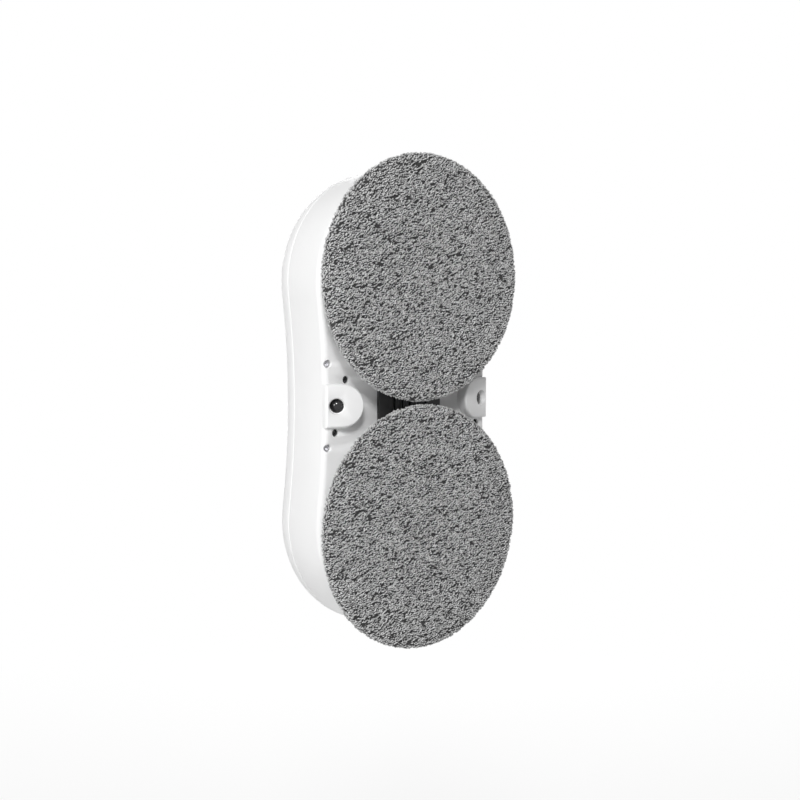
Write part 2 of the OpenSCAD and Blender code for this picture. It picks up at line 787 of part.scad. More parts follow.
// Felt ring between the floor and the land behind the wheel
module upper_seal() {
    color("black") tube(0, wheel_z, seal_in, seal_in + seal_w, skirt_y, floor_y);
}

// Motor pinion on its shaft, with a tooth gap towards the wheel gear
module upper_pinion() {
    color("ivory") translate([pair_distance, 0, wheel_z]) {
        slab(gear_y, gear_end + 1) rotate(180 + 180 / pinion_teeth) polygon(gear_points(pinion_teeth));
        bar(0, 0, pinion_shaft_r, floor_y + 1, gear_y + 1);
        bar(0, 0, pinion_shaft_r, gear_end, deck_top + shaft_depth);
    }
}

// Gear motor: boss, reduction gearbox, motor can and its two contacts
module upper_motor() {
    gearbox_end = deck_top + gearbox_l;
    color("silver") translate([pair_distance, 0, wheel_z]) difference() {
        union() {
            bar(0, 0, motor_boss_r, deck_y, deck_top + 1);
            bar(0, 0, motor_r, deck_top, gearbox_end);
            bar(0, 0, can_r, gearbox_end - 1, gearbox_end + can_l);
            for (side = [-1, 1]) let (z = side * can_r / 2)
                block([-contact_w / 2, gearbox_end + can_l - 1, z - contact_t / 2],
                    [contact_w / 2, gearbox_end + can_l + contact_l, z + contact_t / 2]);
        }
        bar(0, 0, pinion_shaft_r + run_gap, deck_y - 1, deck_top + shaft_depth + 0.5);
        for (side = [-1, 1]) bar(0, side * motor_screw_z, thread_r, deck_top - 1,
            deck_top + screw_bite + pilot_past);
    }
}

// Backward-curved impeller on its shaft
module fan_rotor() {
    color("dimgray") {
        bar(0, 0, blade_in + 0.6, blade_y, back_y + 0.5);
        for (i = [0 : blades - 1])
            slab(blade_y, back_y + 0.5) rotate(360 * i / blades) polygon(blade_points());
        bar(0, 0, impeller_r, back_y, back_y + back_t);
        bar(0, 0, fan_shaft_r, back_y, fan_motor_y + fan_motor_l - 1.5);
    }
}

module fan_motor() {
    color("silver") difference() {
        bar(0, 0, fan_motor_r, fan_motor_y, fan_motor_y + fan_motor_l);
        bar(0, 0, fan_shaft_r + run_gap, fan_motor_y - 1, fan_motor_y + fan_motor_l - 1);
    }
}

// Cup round the impeller, open at the fan's eye
module fan_shroud() {
    color("gray") turned(0, 0) polygon([[eye_r, shroud_y], [shroud_r, shroud_y],
        [shroud_r, fan_motor_y], [shroud_in, fan_motor_y], [shroud_in, shroud_y + shroud_t],
        [eye_r, shroud_y + shroud_t]]);
}

// Disc that carries the fan motor and lets the air past it through slots between its vanes
module fan_diffuser() {
    slot_in = fan_motor_r + 1;
    slot_out = shroud_in - 1.5;
    color("gray") difference() {
        bar(0, 0, shroud_in, diffuser_y, fan_motor_y);
        bar(0, 0, fan_shaft_r + 1, diffuser_y - 1, fan_motor_y + 1);
        difference() {
            tube(0, 0, slot_in, slot_out, diffuser_y - 0.5, fan_motor_y + 0.5);
            for (i = [0 : 11]) rotate([0, 30 * i, 0])
                block([slot_in - 2, diffuser_y - 1, -0.8], [slot_out + 2, fan_motor_y + 1, 0.8]);
        }
    }
}

module fan_gasket() {
    color("black") tube(0, 0, eye_r, duct_r - 0.5, duct_top, shroud_y);
}

// Places two battery cells side by side, left of the duct
module at_cells() {
    for (i = [0 : 1]) translate([-cradle_in - 0.3 - cell_r - i * cell_pitch, cell_y, cell_start]) children();
}

module upper_battery() {
    color("steelblue") at_cells() {
        cylinder(r = cell_r, h = cell_l - 1.2);
        cylinder(r = 2.8, h = cell_l);
    }
}

// Tray with three saddles under the cells
module upper_cradle() {
    x_end = -cradle_in - 2 * cell_r - cell_pitch - 0.8;
    color("dimgray") difference() {
        union() {
            block([x_end, deck_top, cell_start - 1],
                [-cradle_in, deck_top + cradle_t, cell_start + cell_l + 1]);
            for (i = [0 : 2]) let (z = cell_start + cell_l * (i + 0.5) / 3)
                block([x_end, deck_top, z - 2], [-cradle_in, cell_y - 3, z + 2]);
        }
        at_cells() translate([0, 0, -5]) cylinder(r = cell_r + 0.3, h = cell_l + 10);
    }
}

module at_board_screws() {
    for (side = [-1, 1], z = [board_hole_low, board_hole_high])
        translate([side * board_hole_x, 0, z]) children();
}

module main_board() {
    color("darkgreen") difference() {
        block([-board_half, board_y, board_z0], [board_half, board_top, board_z1]);
        at_board_screws() bar(0, 0, thread_r + seat_gap, board_y - 1, board_top + 1);
    }
}

// Button switch, controller, capacitors and connectors on the board
module board_parts() {
    color("black") {
        block([-tact_w / 2, board_top, button_z - tact_w / 2],
            [tact_w / 2, board_top + tact_h - 0.8, button_z + tact_w / 2]);
        bar(0, button_z, 1.6, board_top + tact_h - 1, board_top + tact_h);
        block([-chip_w / 2, board_top, chip_z - chip_w / 2],
            [chip_w / 2, board_top + chip_h, chip_z + chip_w / 2]);
        for (side = [-1, 1]) bar(side * cap_x, chip_z, cap_r, board_top, board_top + cap_h);
        for (i = [-1 : 1]) block([i * plug_pitch - plug_w / 2, board_top, board_z0 + 1],
            [i * plug_pitch + plug_w / 2, board_top + plug_h, board_z0 + 5]);
    }
}

// Round push button with a flange under its guide and a stem to the switch
module start_button() {
    top = ring_top + 0.6;
    stem_end = board_top + tact_h + button_travel + 0.2;
    flange_y = guide_y - 0.1 - button_flange_t;
    color("white") turned(0, button_z) polygon([[0, stem_end], [stem_r, stem_end], [stem_r, flange_y],
        [button_r + button_flange, flange_y], [button_r + button_flange, guide_y - 0.1],
        [button_r, guide_y - 0.1], [button_r, top - 0.8], [button_r - 0.8, top], [0, top]]);
}

module button_ring() {
    color("lightcyan") tube(0, button_z, button_r + 0.3, button_r + ring_w, ring_seat, ring_top);
}

// Body of the power switch with its rim, its cavity and three contacts
module power_switch() {
    top = switch_seat + switch_flange_t;
    rim = switch_rim;
    color("black") translate([0, 0, -switch_z]) difference() {
        union() {
            block([-switch_w / 2, switch_seat - switch_depth, -switch_l / 2],
                [switch_w / 2, top, switch_l / 2]);
            block([-switch_w / 2 - rim, switch_seat, -switch_l / 2 - rim],
                [switch_w / 2 + rim, top, switch_l / 2 + rim]);
            for (i = [-1 : 1]) block([-0.4, switch_seat - switch_depth - 6, i * 6 - 2],
                [0.4, switch_seat - switch_depth + 1, i * 6 + 2]);
        }
        block([-rocker_w / 2 - 0.3, top - cavity_depth, -rocker_l / 2 - 0.7],
            [rocker_w / 2 + 0.3, top + 1, rocker_l / 2 + 0.7]);
        translate([-switch_w, rocker_y, 0]) rotate([0, 90, 0])
            cylinder(r = rocker_pin_r + run_gap, h = 2 * switch_w);
    }
}

// Rocker with a hollow top, tipped to its off side
module power_rocker() {
    half = rocker_l / 2;
    dip = 1.6;
    rise = dip + half * tan(rocker_tilt);
    color("black") translate([0, rocker_y, -switch_z]) rotate([-rocker_tilt, 0, 0]) {
        translate([-rocker_w / 2, 0, 0]) rotate([90, 0, 90]) linear_extrude(rocker_w)
            polygon([[rise, -half], [dip, 0], [rise, half], [-0.8, half - 0.6], [-3, 2.5], [-3, -2.5],
                [-0.8, 0.6 - half]]);
        translate([0.3 - switch_w / 2, 0, 0]) rotate([0, 90, 0])
            cylinder(r = rocker_pin_r, h = switch_w - 0.6);
    }
}

// Infrared window of the remote receiver
module remote_window() {
    flange_top = window_top - wall_t - 0.5;
    color("maroon") {
        bar(0, -window_z, window_r, flange_top - 0.6, window_top + 0.2);
        bar(0, -window_z, window_r + 1.5, flange_top - 1.2, flange_top);
    }
}

// Round power inlet behind the right side wall
module dc_socket() {
    mouth = waist_half - 0.8;
    color("black") translate([mouth, inlet_y, 0]) rotate([0, -90, 0]) difference() {
        union() {
            cylinder(r = inlet_body_r, h = inlet_body_l);
            translate([0, 0, wall_t - 0.5]) cylinder(r = inlet_flange_r, h = 1.5);
        }
        difference() {
            translate([0, 0, -1]) cylinder(r = inlet_r, h = inlet_depth + 1);
            translate([0, 0, 1]) cylinder(r = 1, h = inlet_depth);
        }
    }
}

// Eye for the safety line, on a stud through the cover
module tether_eye() {
    base = tether_seat + tether_flange_t;
    color("silver") difference() {
        union() {
            bar(0, tether_z, tether_flange_r, tether_seat, base);
            bar(0, tether_z, stud_r, tether_seat - tether_boss_h - nut_t - 0.6, tether_seat + 1);
            translate([-tether_t / 2, base + tether_rise - 1, tether_z]) rotate([0, 90, 0])
                cylinder(r = tether_r, h = tether_t);
            block([-tether_t / 2, base - 1, tether_z - 5], [tether_t / 2, base + 2.5, tether_z + 5]);
        }
        translate([-tether_t, base + tether_rise - 1, tether_z]) rotate([0, 90, 0])
            cylinder(r = tether_bore_r, h = 2 * tether_t);
    }
}

module tether_nut() {
    y = tether_seat - tether_boss_h - nut_t;
    color("silver") difference() {
        translate([0, y, tether_z]) rotate([-90, 0, 0]) cylinder(r = nut_r, h = nut_t, $fn = 6);
        bar(0, tether_z, stud_r, y - 1, y + nut_t + 1);
    }
}

// Plan of a side pod: round towards the middle and square at the wall
module pod_plan(inset, out) {
    intersection() {
        union() {
            translate([pod_x, 0]) circle(r = pod_r - inset, $fn = 32);
            translate([pod_x, inset - pod_r]) square([pod_r, 2 * (pod_r - inset)]);
        }
        translate([0, -pod_r]) square([out - inset / 2, 2 * pod_r]);
    }
}

// White pod that slopes down to the side wall, with a scoop for the sensor's dome
module right_pod() {
    slope_out = pod_in + (pod_out - pod_in) / cos(pod_slope);
    color("white") difference() {
        union() {
            hull() {
                slab(floor_y - 0.5, floor_y) pod_plan(0, pod_out);
                for (i = [0 : 2]) translate([pod_in, floor_y - pod_h + pod_round * (1 - cos(45 * i)), 0])
                    rotate([0, 0, pod_slope]) translate([-pod_in, 0, 0])
                    slab(0, 0.01) pod_plan(pod_round * (1 - sin(45 * i)), slope_out);
            }
            block([waist_half - edge_r, floor_y - 0.5, -pod_r], [pod_out, floor_y + pod_cut, pod_r]);
        }
        sensor_cut();
    }
}

module left_pod() {
    mirror([1, 0, 0]) right_pod();
}

// Collision sensor: a glossy dome on a barrel
module right_sensor() {
    bulge = 2.4;
    sphere_r = (pow(dome_r, 2) + pow(bulge, 2)) / (2 * bulge);
    rim_a = asin(dome_r / sphere_r);
    color("black") along_sensor() rotate_extrude() polygon(concat([[0, -sensor_l], [barrel_r, -sensor_l],
        [barrel_r, 0]], [for (i = [0 : 6]) let (a = rim_a * (1 - i / 6))
            [sphere_r * sin(a), bulge - sphere_r * (1 - cos(a))]]));
}

module left_sensor() {
    mirror([1, 0, 0]) right_sensor();
}

// Round edge sensors in the four black ports of the underside
module port_sensors() {
    color("black") both_sides() for (port = [port_up, port_low])
        bar(port[0], port[1], port_r, floor_y + 1.2, floor_in + 2);
}

module housing_screws() {
    y = floor_y + well_depth - screw_head_h;
    color("silver") at_wells() screw(0, y, 0, seam_y + screw_bite - y);
}

module deck_screws() {
    y = deck_top + screw_head_h;
    color("silver") at_deck_posts() screw(0, y, 0, screw_head_h + deck_t + screw_bite, -1);
}

module motor_screws() {
    y = deck_y - screw_head_h;
    color("silver") at_motor_screws() screw(0, y, 0, deck_top + screw_bite - y);
}

module board_screws() {
    y = board_top + screw_head_h;
    color("silver") at_board_screws() screw(0, y, 0, screw_head_h + board_t + screw_bite, -1);
}

module handle_screws() {
    y = ceiling_y - screw_head_h - 0.1;
    color("silver") at_handle_screws() screw(0, y, 0, crown_y + 1.5 * screw_bite - y);
}

module lower_wheel() { lower_end() upper_wheel(); }
module lower_hook_disc() { lower_end() upper_hook_disc(); }
module lower_pad() { lower_end() upper_pad(); }
module lower_gear() { lower_end() upper_gear(); }
module lower_retainer() { lower_end() upper_retainer(); }
module lower_bush() { lower_end() upper_bush(); }
module lower_seal() { lower_end() upper_seal(); }
module lower_pinion() { lower_end() upper_pinion(); }
module lower_motor() { lower_end() upper_motor(); }
module lower_battery() { lower_end() upper_battery(); }
module lower_cradle() { lower_end() upper_cradle(); }

bottom_housing();
top_cover();
centre_panel();
deck();
air_duct();
exhaust_grille();
carry_handle();
upper_wheel();
lower_wheel();
upper_hook_disc();
lower_hook_disc();
upper_pad();
lower_pad();
upper_gear();
lower_gear();
upper_retainer();
lower_retainer();
upper_bush();
lower_bush();
upper_seal();
lower_seal();
upper_pinion();
lower_pinion();
upper_motor();
lower_motor();
fan_rotor();
fan_motor();
fan_shroud();
fan_diffuser();
fan_gasket();
upper_battery();
lower_battery();
upper_cradle();
lower_cradle();
main_board();
board_parts();
start_button();
button_ring();
power_switch();
power_rocker();
remote_window();
dc_socket();
tether_eye();
tether_nut();
left_pod();
right_pod();
left_sensor();
right_sensor();
port_sensors();
housing_screws();
deck_screws();
motor_screws();
board_screws();
handle_screws();
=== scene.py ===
"""Looks of a window cleaning robot with two turning fleece pads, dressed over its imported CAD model.

Everything is in metres in the model's own frame: X runs across the robot, Y leads away from the
glass and Z runs up its long axis. The origin lies on the glass, midway between the two pads.
"""

import json
import logging
import math
from dataclasses import dataclass
from enum import Enum
from typing import Iterable, Sequence

import bmesh
import bpy
import numpy as np
from mathutils import Matrix, Vector


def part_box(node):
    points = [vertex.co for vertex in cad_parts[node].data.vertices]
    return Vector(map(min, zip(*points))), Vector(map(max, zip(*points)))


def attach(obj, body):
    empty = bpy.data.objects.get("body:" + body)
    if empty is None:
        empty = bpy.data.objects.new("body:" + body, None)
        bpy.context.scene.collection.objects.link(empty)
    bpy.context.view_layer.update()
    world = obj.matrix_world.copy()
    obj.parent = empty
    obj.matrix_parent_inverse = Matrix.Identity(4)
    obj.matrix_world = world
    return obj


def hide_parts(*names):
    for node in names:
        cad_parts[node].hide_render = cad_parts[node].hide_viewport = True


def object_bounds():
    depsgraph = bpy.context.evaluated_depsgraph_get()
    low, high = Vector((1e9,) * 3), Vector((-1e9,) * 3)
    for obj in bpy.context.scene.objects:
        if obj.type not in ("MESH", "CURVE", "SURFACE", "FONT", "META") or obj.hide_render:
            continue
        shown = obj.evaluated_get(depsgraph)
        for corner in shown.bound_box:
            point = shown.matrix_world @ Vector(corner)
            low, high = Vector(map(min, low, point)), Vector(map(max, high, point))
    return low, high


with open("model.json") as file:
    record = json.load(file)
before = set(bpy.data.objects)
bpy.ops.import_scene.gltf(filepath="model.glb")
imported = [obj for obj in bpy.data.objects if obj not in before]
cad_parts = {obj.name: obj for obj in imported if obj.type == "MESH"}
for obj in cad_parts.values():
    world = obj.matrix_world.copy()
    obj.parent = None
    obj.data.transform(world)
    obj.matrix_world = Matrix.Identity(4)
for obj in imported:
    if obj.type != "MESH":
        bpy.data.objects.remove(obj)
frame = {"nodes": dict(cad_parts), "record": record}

LOG = logging.getLogger("robot")
MM = 0.001
CAD_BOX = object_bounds()
CHASSIS = "chassis"
OVERCUT = 1 * MM
SHELL_EDGE = 0.22 * MM
FIT = 0.15 * MM
GRILLE_RIM = 1.7 * MM


class End(Enum):
    """The two ends of the robot: the lower one is the upper one turned half round about Y."""

    UPPER = "upper"
    LOWER = "lower"

    @property
    def sign(self) -> int:
        """Side of the origin on which the end lies along Z."""
        return 1 if self is End.UPPER else -1

    @property
    def body(self) -> str:
        """Name of the CAD body that turns with this end's pad."""
        return f"{self.value}_wheel_set"


class Side(Enum):
    """The two sides of the robot, seen from the glass."""

    LEFT = -1
    RIGHT = 1


# Materials


class Paint:
    """A Principled material whose pattern nodes read Object coordinates."""

    def __init__(self, name: str) -> None:
        """Start an empty material.

        Args:
            name: Name of the new material.
        """
        self.material = bpy.data.materials.new(name)
        self.material.use_nodes = True
        self.tree = self.material.node_tree
        self.surface = self.tree.nodes["Principled BSDF"]
        self.place = self.node("ShaderNodeTexCoord").outputs["Object"]

    def node(self, kind: str, **inputs: object) -> bpy.types.Node:
        """Add a node.

        Args:
            kind: Blender's name of the node type.
            inputs: Values or sockets for its inputs, with underscores for spaces.

        Returns:
            The new node.
        """
        made = self.tree.nodes.new(kind)
        for key, value in inputs.items():
            self.feed(made.inputs[key.replace("_", " ")], value)
        return made

    def feed(self, socket: bpy.types.NodeSocket, value: object) -> None:
        """Set a socket to a value, or link another socket to it."""
        if isinstance(value, bpy.types.NodeSocket):
            self.tree.links.new(value, socket)
        else:
            socket.default_value = value

    def constants(self, **values: object) -> None:
        """Set plain values on the shader's own sockets."""
        for key, value in values.items():
            self.surface.inputs[key.replace("_", " ")].default_value = value

    def stretched(self, scale: Sequence[float]) -> bpy.types.NodeSocket:
        """Object coordinates scaled by a different factor along each axis."""
        return self.node("ShaderNodeMapping", Vector=self.place, Scale=tuple(scale)).outputs["Vector"]

    def noise(self, per_metre: float, detail: float = 3.0,
              vector: bpy.types.NodeSocket | None = None) -> bpy.types.NodeSocket:
        """Fractal noise from 0 to 1.

        Args:
            per_metre: Repeats in a metre.
            detail: Octaves of the noise.
            vector: Coordinates to read, or None for Object coordinates.

        Returns:
            The factor socket.
        """
        made = self.node("ShaderNodeTexNoise", Vector=vector or self.place, Scale=per_metre, Detail=detail)
        return made.outputs["Fac"]

    def span(self, value: bpy.types.NodeSocket, low: float, high: float,
             start: float = 0.3, end: float = 0.7) -> bpy.types.NodeSocket:
        """Map a factor's start-to-end stretch onto low to high."""
        made = self.node("ShaderNodeMapRange", Value=value, From_Min=start, From_Max=end,
                         To_Min=low, To_Max=high)
        return made.outputs["Result"]

    def blend(self, factor: bpy.types.NodeSocket, first: Sequence[float],
              second: Sequence[float]) -> bpy.types.NodeSocket:
        """Mix two colours by a factor socket."""
        made = self.tree.nodes.new("ShaderNodeMix")
        made.data_type = "RGBA"
        self.feed(made.inputs[0], factor)
        self.feed(made.inputs[6], (*first, 1.0))
        self.feed(made.inputs[7], (*second, 1.0))
        return made.outputs[2]

    def stored(self, key: str) -> bpy.types.NodeSocket:
        """The number that a mesh keeps under a name."""
        made = self.node("ShaderNodeAttribute")
        made.attribute_name = key
        return made.outputs["Fac"]

    def relief(self, height: bpy.types.NodeSocket, depth: float) -> None:
        """Raise the surface by a height socket times depth in metres."""
        bump = self.node("ShaderNodeBump", Height=height, Distance=depth)
        self.feed(self.surface.inputs["Normal"], bump.outputs["Normal"])


def shade(colour: Sequence[float], factor: float) -> tuple[float, ...]:
    """A colour made lighter or darker by a factor, kept between 0 and 1."""
    return tuple(min(1.0, max(0.0, part * factor)) for part in colour)


@dataclass(frozen=True)
class Moulded:
    """Injection-moulded plastic with a faint flow pattern and a fine spark-eroded texture."""

    colour: tuple[float, float, float]
    roughness: float = 0.4
    texture_per_m: float = 2200.0
    texture_depth: float = 0.01 * MM
    variation: float = 0.02
    coat: float = 0.0

    def material(self, name: str) -> bpy.types.Material:
        """Build the node material."""
        paint = Paint(name)
        cloud = paint.noise(18.0, 2.0)
        paint.feed(paint.surface.inputs["Base Color"], paint.blend(
            paint.span(cloud, 0.0, 1.0), shade(self.colour, 1 - self.variation),
            shade(self.colour, 1 + self.variation)))
        smear = paint.noise(70.0, 4.0)
        paint.feed(paint.surface.inputs["Roughness"],
                   paint.span(smear, self.roughness - 0.05, self.roughness + 0.06))
        paint.constants(Coat_Weight=self.coat, Coat_Roughness=0.12, IOR=1.5)
        paint.relief(paint.noise(self.texture_per_m, 2.0), self.texture_depth)
        return paint.material


@dataclass(frozen=True)
class Fleece:
    """Looped microfibre yarn with painted shade towards its roots and on loops sunk in furrows, a soft sheen
    and fine fibres along each loop.
    """

    colour: tuple[float, float, float]
    # How dark the painted shade at the loops' roots is, as a share of the colour.
    painted_root_shade: float = 0.08
    sheen: float = 0.12
    darkest: float = 0.7
    palest: float = 1.22

    def material(self, name: str) -> bpy.types.Material:
        """Build the node material."""
        paint = Paint(name)
        # Painted shade: each loop darkens from its top to the root colour at its roots, and darker still
        # where its lift is low in a furrow; bare cloth gets the root colour.
        tip, lot, lift = (paint.stored(key) for key in ("height", "tone", "lift"))
        both = paint.tree.nodes.new("ShaderNodeMath")
        both.operation = "MULTIPLY"
        paint.feed(both.inputs[0], tip)
        paint.feed(both.inputs[1], paint.span(lift, 0.3, 1.0, 0.0, 1.0))
        deep = paint.blend(paint.span(both.outputs[0], 0.0, 1.0, 0.0, 0.9),
                           shade(self.colour, self.painted_root_shade), self.colour)
        tone = paint.tree.nodes.new("ShaderNodeMix")
        tone.data_type = "RGBA"
        tone.blend_type = "MULTIPLY"
        tone.inputs[0].default_value = 1.0
        paint.feed(tone.inputs[6], deep)
        paint.feed(tone.inputs[7], paint.blend(lot, (self.darkest,) * 3, (self.palest,) * 3))
        paint.feed(paint.surface.inputs["Base Color"], tone.outputs[2])
        paint.feed(paint.surface.inputs["Roughness"], paint.span(paint.noise(900.0), 0.85, 1.0))
        paint.constants(Sheen_Weight=self.sheen, Sheen_Roughness=0.6, Specular_IOR_Level=0.15)
        paint.relief(paint.noise(5000.0, 2.0), 0.12 * MM)
        return paint.material


@dataclass(frozen=True)
class Cloth:
    """Felt or hook tape: matte fibres with a fine regular or matted relief."""

    colour: tuple[float, float, float]
    fibres_per_m: float = 2500.0
    depth: float = 0.15 * MM

    def material(self, name: str) -> bpy.types.Material:
        """Build the node material."""
        paint = Paint(name)
        fibres = paint.noise(self.fibres_per_m, 4.0)
        paint.feed(paint.surface.inputs["Base Color"], paint.blend(
            paint.span(fibres, 0.0, 1.0), shade(self.colour, 0.6), shade(self.colour, 1.4)))
        paint.feed(paint.surface.inputs["Roughness"], paint.span(paint.noise(400.0), 0.85, 1.0))
        paint.constants(Sheen_Weight=0.2, Specular_IOR_Level=0.2)
        paint.relief(fibres, self.depth)
        return paint.material


@dataclass(frozen=True)
class Metal:
    """Steel with fine drawn lines along one axis."""

    colour: tuple[float, float, float]
    roughness: float = 0.32
    lines: tuple[float, float, float] = (1.0, 12.0, 1.0)

    def material(self, name: str) -> bpy.types.Material:
        """Build the node material."""
        paint = Paint(name)
        drawn = paint.noise(400.0, 4.0, paint.stretched(self.lines))
        paint.feed(paint.surface.inputs["Base Color"], paint.blend(
            paint.span(drawn, 0.0, 1.0), shade(self.colour, 0.88), shade(self.colour, 1.06)))
        paint.feed(paint.surface.inputs["Roughness"],
                   paint.span(drawn, self.roughness - 0.07, self.roughness + 0.1))
        paint.constants(Metallic=1.0)
        paint.relief(drawn, 0.01 * MM)
        return paint.material


@dataclass(frozen=True)
class Board:
    """Solder-masked board with copper tracks that show through as paler lines."""

    colour: tuple[float, float, float]
    tracks_per_m: float = 260.0

    def material(self, name: str) -> bpy.types.Material:
        """Build the node material."""
        paint = Paint(name)
        cells = paint.node("ShaderNodeTexBrick", Vector=paint.stretched((1.0, 1.0, 0.5)),
                           Scale=self.tracks_per_m, Mortar_Size=0.06)
        paint.feed(paint.surface.inputs["Base Color"], paint.blend(
            cells.outputs["Fac"], self.colour, shade(self.colour, 2.2)))
        paint.feed(paint.surface.inputs["Roughness"], paint.span(paint.noise(120.0), 0.3, 0.42))
        paint.relief(cells.outputs["Fac"], 0.03 * MM)
        return paint.material


@dataclass(frozen=True)
class Lens:
    """Clear or tinted plastic that lets some light through."""

    colour: tuple[float, float, float]
    through: float = 0.5
    roughness: float = 0.25

    def material(self, name: str) -> bpy.types.Material:
        """Build the node material."""
        paint = Paint(name)
        cloud = paint.noise(150.0, 2.0)
        paint.feed(paint.surface.inputs["Base Color"], paint.blend(
            cloud, shade(self.colour, 0.95), shade(self.colour, 1.04)))
        paint.feed(paint.surface.inputs["Roughness"],
                   paint.span(paint.noise(300.0), self.roughness, self.roughness + 0.08))
        paint.constants(Transmission_Weight=self.through, IOR=1.49)
        return paint.material


FINISHES: dict[str, object] = {
    "shell_white": Moulded((0.86, 0.86, 0.86), roughness=0.48, coat=0.04),
    "wheel_white": Moulded((0.83, 0.83, 0.83), roughness=0.5),
    "inner_plastic": Moulded((0.50, 0.51, 0.52), roughness=0.55, texture_depth=0.03 * MM),
    # On the centre panel this dark plastic partly stands in as painted shade for the gap between the pads.
    "dark_plastic": Moulded((0.022, 0.022, 0.023), roughness=0.62, texture_depth=0.04 * MM, variation=0.15),
    "black_plastic": Moulded((0.008, 0.008, 0.009), roughness=0.14, texture_depth=0.003 * MM, variation=0.2),
    "fleece": Fleece((0.66, 0.66, 0.66)),
    "hook_fabric": Cloth((0.05, 0.05, 0.05)),
    "gear_plastic": Moulded((0.80, 0.76, 0.66), roughness=0.42, variation=0.04),
    "felt": Cloth((0.05, 0.05, 0.05), fibres_per_m=1600.0),
    "gasket_rubber": Moulded((0.02, 0.02, 0.02), roughness=0.8, texture_depth=0.05 * MM, variation=0.2),
    "steel": Metal((0.58, 0.58, 0.60)),
    "cell_wrap": Moulded((0.05, 0.16, 0.42), roughness=0.28, coat=0.3, variation=0.05),
    "board_green": Board((0.02, 0.13, 0.05)),
    "light_ring": Lens((0.80, 0.88, 0.90), through=0.3, roughness=0.42),
    "infrared_window": Lens((0.06, 0.005, 0.01), through=0.2, roughness=0.08),
}


class Palette:
    """The built material of each of the record's slots."""

    def __init__(self) -> None:
        """Build every finish once."""
        self.materials = {slot: finish.material(slot) for slot, finish in FINISHES.items()}
        self.slot_of = {part["node"]: part["material_slot"] for part in frame["record"]["subparts"]}

    def dress_nodes(self) -> None:
        """Give each CAD node the material of its slot."""
        for name, node in frame["nodes"].items():
            dress(node, self.materials[self.slot_of[name]])


def dress(obj: bpy.types.Object, material: bpy.types.Material) -> None:
    """Make a material the only one of an object."""
    obj.data.materials.clear()
    obj.data.materials.append(material)


# Meshes


def mesh_object(name: str, points: Iterable[Sequence[float]],
                faces: Iterable[Sequence[int]]) -> bpy.types.Object:
    """Make an object from points and faces, with its place in its mesh.

    Args:
        name: Name of the object.
        points: Vertices in metres.
        faces: Vertex numbers of each face, anticlockwise seen from outside.

    Returns:
        The new object, linked to the scene.
    """
    mesh = bpy.data.meshes.new(name)
    mesh.from_pydata([tuple(map(float, p)) for p in points], [], [tuple(map(int, f)) for f in faces])
    mesh.validate()
    obj = bpy.data.objects.new(name, mesh)
    bpy.context.scene.collection.objects.link(obj)
    return obj


def drop(obj: bpy.types.Object) -> None:
    """Remove an object that only helped to make another."""
    bpy.data.objects.remove(obj, do_unlink=True)


def settle(obj: bpy.types.Object) -> bpy.types.Object:
    """Turn an object's modifiers into its plain mesh."""
    graph = bpy.context.evaluated_depsgraph_get()
    mesh = bpy.data.meshes.new_from_object(obj.evaluated_get(graph), depsgraph=graph)
    obj.modifiers.clear()
    obj.data = mesh
    return obj


def smooth(obj: bpy.types.Object, limit: float = 32.0) -> bpy.types.Object:
    """Shade smooth, with sharp edges where faces meet at more than a limit in degrees."""
    made = bmesh.new()
    made.from_mesh(obj.data)
    for face in made.faces:
        face.smooth = True
    for edge in made.edges:
        edge.smooth = len(edge.link_faces) == 2 and edge.calc_face_angle(0.0) < math.radians(limit)
    made.to_mesh(obj.data)
    made.free()
    return obj


def outward(obj: bpy.types.Object) -> bpy.types.Object:
    """Make the faces of a closed mesh point outwards."""
    made = bmesh.new()
    made.from_mesh(obj.data)
    bmesh.ops.remove_doubles(made, verts=made.verts, dist=1e-7)
    bmesh.ops.recalc_face_normals(made, faces=made.faces)
    made.to_mesh(obj.data)
    made.free()
    return obj


def soften(obj: bpy.types.Object, width: float, limit: float = 32.0, segments: int = 2) -> bpy.types.Object:
    """Round an object's sharp edges by a small width."""
    bevel = obj.modifiers.new("edge", "BEVEL")
    bevel.width = width
    bevel.segments = segments
    bevel.limit_method = "ANGLE"
    bevel.angle_limit = math.radians(limit)
    bevel.use_clamp_overlap = True
    bevel.harden_normals = False
    return smooth(settle(obj), limit)


def joined(name: str, parts: Sequence[bpy.types.Object]) -> bpy.types.Object:
    """Join closed meshes that need no union into one object.

    Args:
        name: Name of the result.
        parts: Objects to join; they are removed.

    Returns:
        The joined object.
    """
    made = bmesh.new()
    for part in parts:
        made.from_mesh(part.data)
        drop(part)
    mesh = bpy.data.meshes.new(name)
    made.to_mesh(mesh)
    made.free()
    obj = bpy.data.objects.new(name, mesh)
    bpy.context.scene.collection.objects.link(obj)
    return obj


def cut(obj: bpy.types.Object, cutters: Sequence[bpy.types.Object]) -> bpy.types.Object:
    """Take cutters out of an object; the cutters may overlap each other."""
    store = bpy.data.collections.new("cutters")
    bpy.context.scene.collection.children.link(store)
    for cutter in cutters:
        store.objects.link(outward(cutter))
    tool = obj.modifiers.new("cut", "BOOLEAN")
    tool.operation = "DIFFERENCE"
    tool.solver = "EXACT"
    tool.operand_type = "COLLECTION"
    tool.collection = store
    tool.use_self = False
    settle(obj)
    for cutter in cutters:
        drop(cutter)
    bpy.data.collections.remove(store)
    return obj


